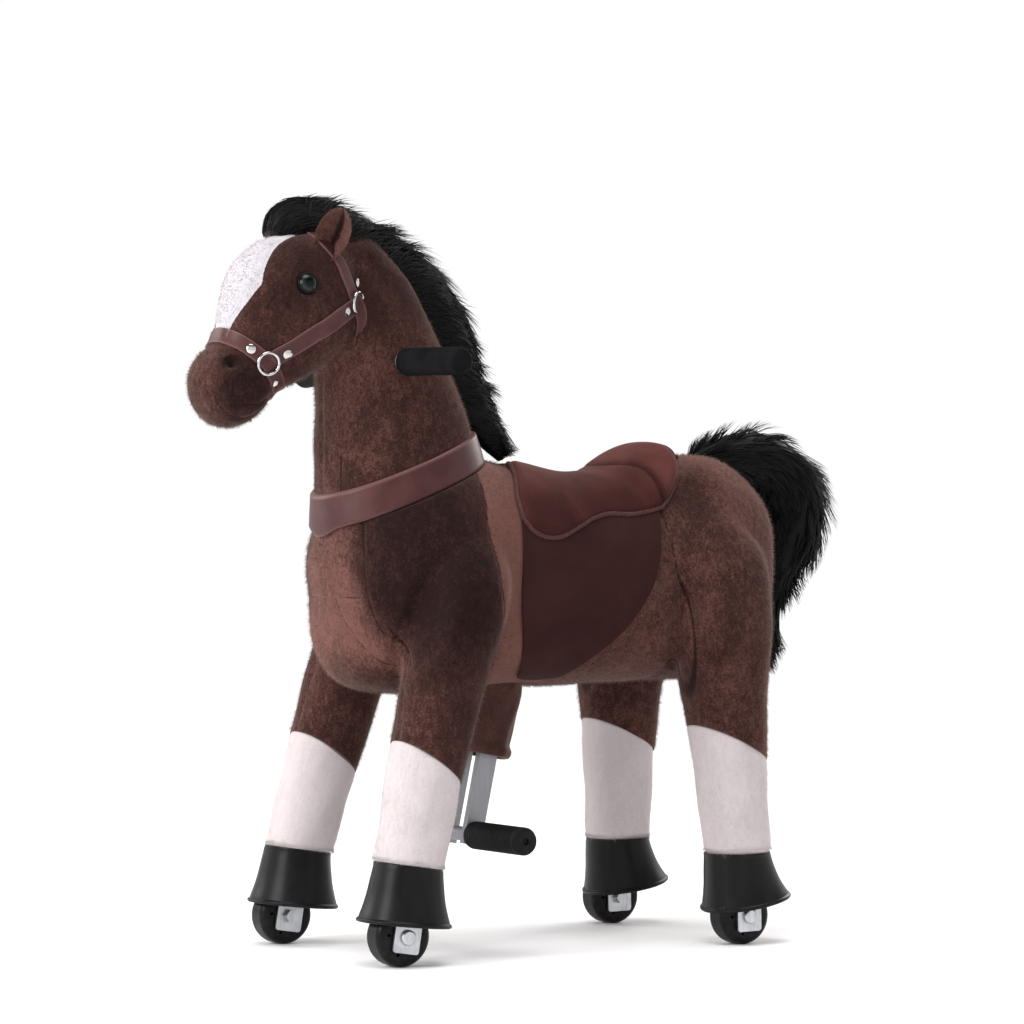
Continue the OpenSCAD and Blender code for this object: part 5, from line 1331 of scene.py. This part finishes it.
def pile(name, skin, count, length, covers, cuts=(), stand=0.7):
    """Spikes of three sides at seeded places on a skin: root + (normal + lay + chance) * length."""
    mesh = skin.data
    mesh.calc_loop_triangles()
    corner = np.empty(len(mesh.loop_triangles) * 3, np.int32)
    mesh.loop_triangles.foreach_get("vertices", corner)
    corner = corner.reshape(-1, 3)
    place, normal = corners(skin)
    a, b, c = (place[corner[:, i]] for i in range(3))
    area = np.linalg.norm(np.cross(b - a, c - a), axis=1)
    pick = corner[chance.choice(len(area), count, p=area / area.sum())]
    weight = chance.dirichlet((1, 1, 1), len(pick))
    marks = []
    for mark in ("seam", "nap", "blaze"):
        layer, values = mesh.attributes.get(mark), np.zeros(len(place), np.float32)
        if layer:
            layer.data.foreach_get("value", values)
        marks.append((values[pick] * weight).sum(1))
    root, out = ((v[pick] * weight[..., None]).sum(1) for v in (place, normal))
    keep = np.ones(len(root), bool)
    for point, way in cuts:
        keep &= (root - point) @ np.asarray(way, float) < -0.002
    keep &= marks[0] < seam_clear
    if covers:
        keep &= ~pressed(root, covers)
    root, out, seam, nap, blaze = root[keep], out[keep], *(m[keep] for m in marks)
    out = unit(out)
    swirl = np.sin(root @ np.array([(31, 11, 7), (13, 29, 17), (23, 19, 27)]) + (0, 2, 4))
    lay = np.array((-0.45, 0, -0.8)) + 0.5 * swirl
    lay = lay - (lay * out).sum(1)[:, None] * out
    way = unit(out * stand + lay * 0.7 + chance.normal(0, 0.22, root.shape))
    long = length * chance.uniform(0.6, 1.3, len(root)) * (1 - 0.28 * np.clip(seam, 0, 3))
    first = unit(np.cross(way, (0.36, 0.48, 0.8)))
    second = np.cross(way, first)
    turn = np.arange(3) * 2 * np.pi / 3
    foot = (root - out * root_sunk)[:, None] + fibre_radius * (
        np.cos(turn)[:, None] * first[:, None] + np.sin(turn)[:, None] * second[:, None])
    points = np.concatenate([foot, (root + way * long[:, None])[:, None]], 1).reshape(-1, 3)
    spike = np.array(((0, 1, 3), (1, 2, 3), (2, 0, 3), (2, 1, 0)))
    faces = (np.arange(len(root))[:, None, None] * 4 + spike).reshape(-1, 3)
    piece = shown(name, points, faces.tolist(), mesh.materials[0], None)
    piece.data.normals_split_custom_set_from_vertices(np.repeat(out, 4, 0).tolist())
    # Painted shade and light on each fibre: darker at the root, where shade falls, and lighter at the tip, on
    # top of what the skin's painted attribute holds.
    paint(piece, "nap", (nap[:, None] + (-0.6, -0.6, -0.6, 0.7)).ravel())
    paint(piece, "blaze", np.repeat(blaze, 4))
    return piece


tack = [saddle, saddle_cord, *panels, collar]
fore_pile = pile("forequarters_pile", forequarters, 44000, 0.0036, tack, fore_cuts)
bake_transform(fore_pile)
hind_pile = pile("hindquarters_pile", hindquarters, 44000, 0.0036, tack, hind_cuts)
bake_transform(hind_pile)
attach(pile("barrel_pile", barrel, 30000, 0.0034, tack, barrel_cuts), "body")
head_covers = [halter, collar, eyes, mane]
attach(pile("head_pile", head, 48000, 0.0032, head_covers, head_cuts), "head")
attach(pile("ear_pile", ears, 5000, 0.0017, [mane]), "head")
hoof_edge_rise, fringe_rise = {False: 0.0670, True: 0.0630}, 0.007
for (rear, side), sock in socks.items():
    up, (edge, down) = foot_up(rear), sock_edge(rear)
    hoof_edge = axle(rear, 0) + up * hoof_edge_rise[rear]
    sock_pile = pile(sock.name + "_pile", sock, 5000, 0.0022, [],
                     [(hoof_edge, -up), (edge, -down)])
    sock_fringe = pile(sock.name + "_fringe", sock, 30000, 0.0055, [],
                       [(hoof_edge, -up), (hoof_edge + up * fringe_rise, up)], 0.25)
    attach(sock_fringe, leg_body[rear])
    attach(sock_pile, leg_body[rear])
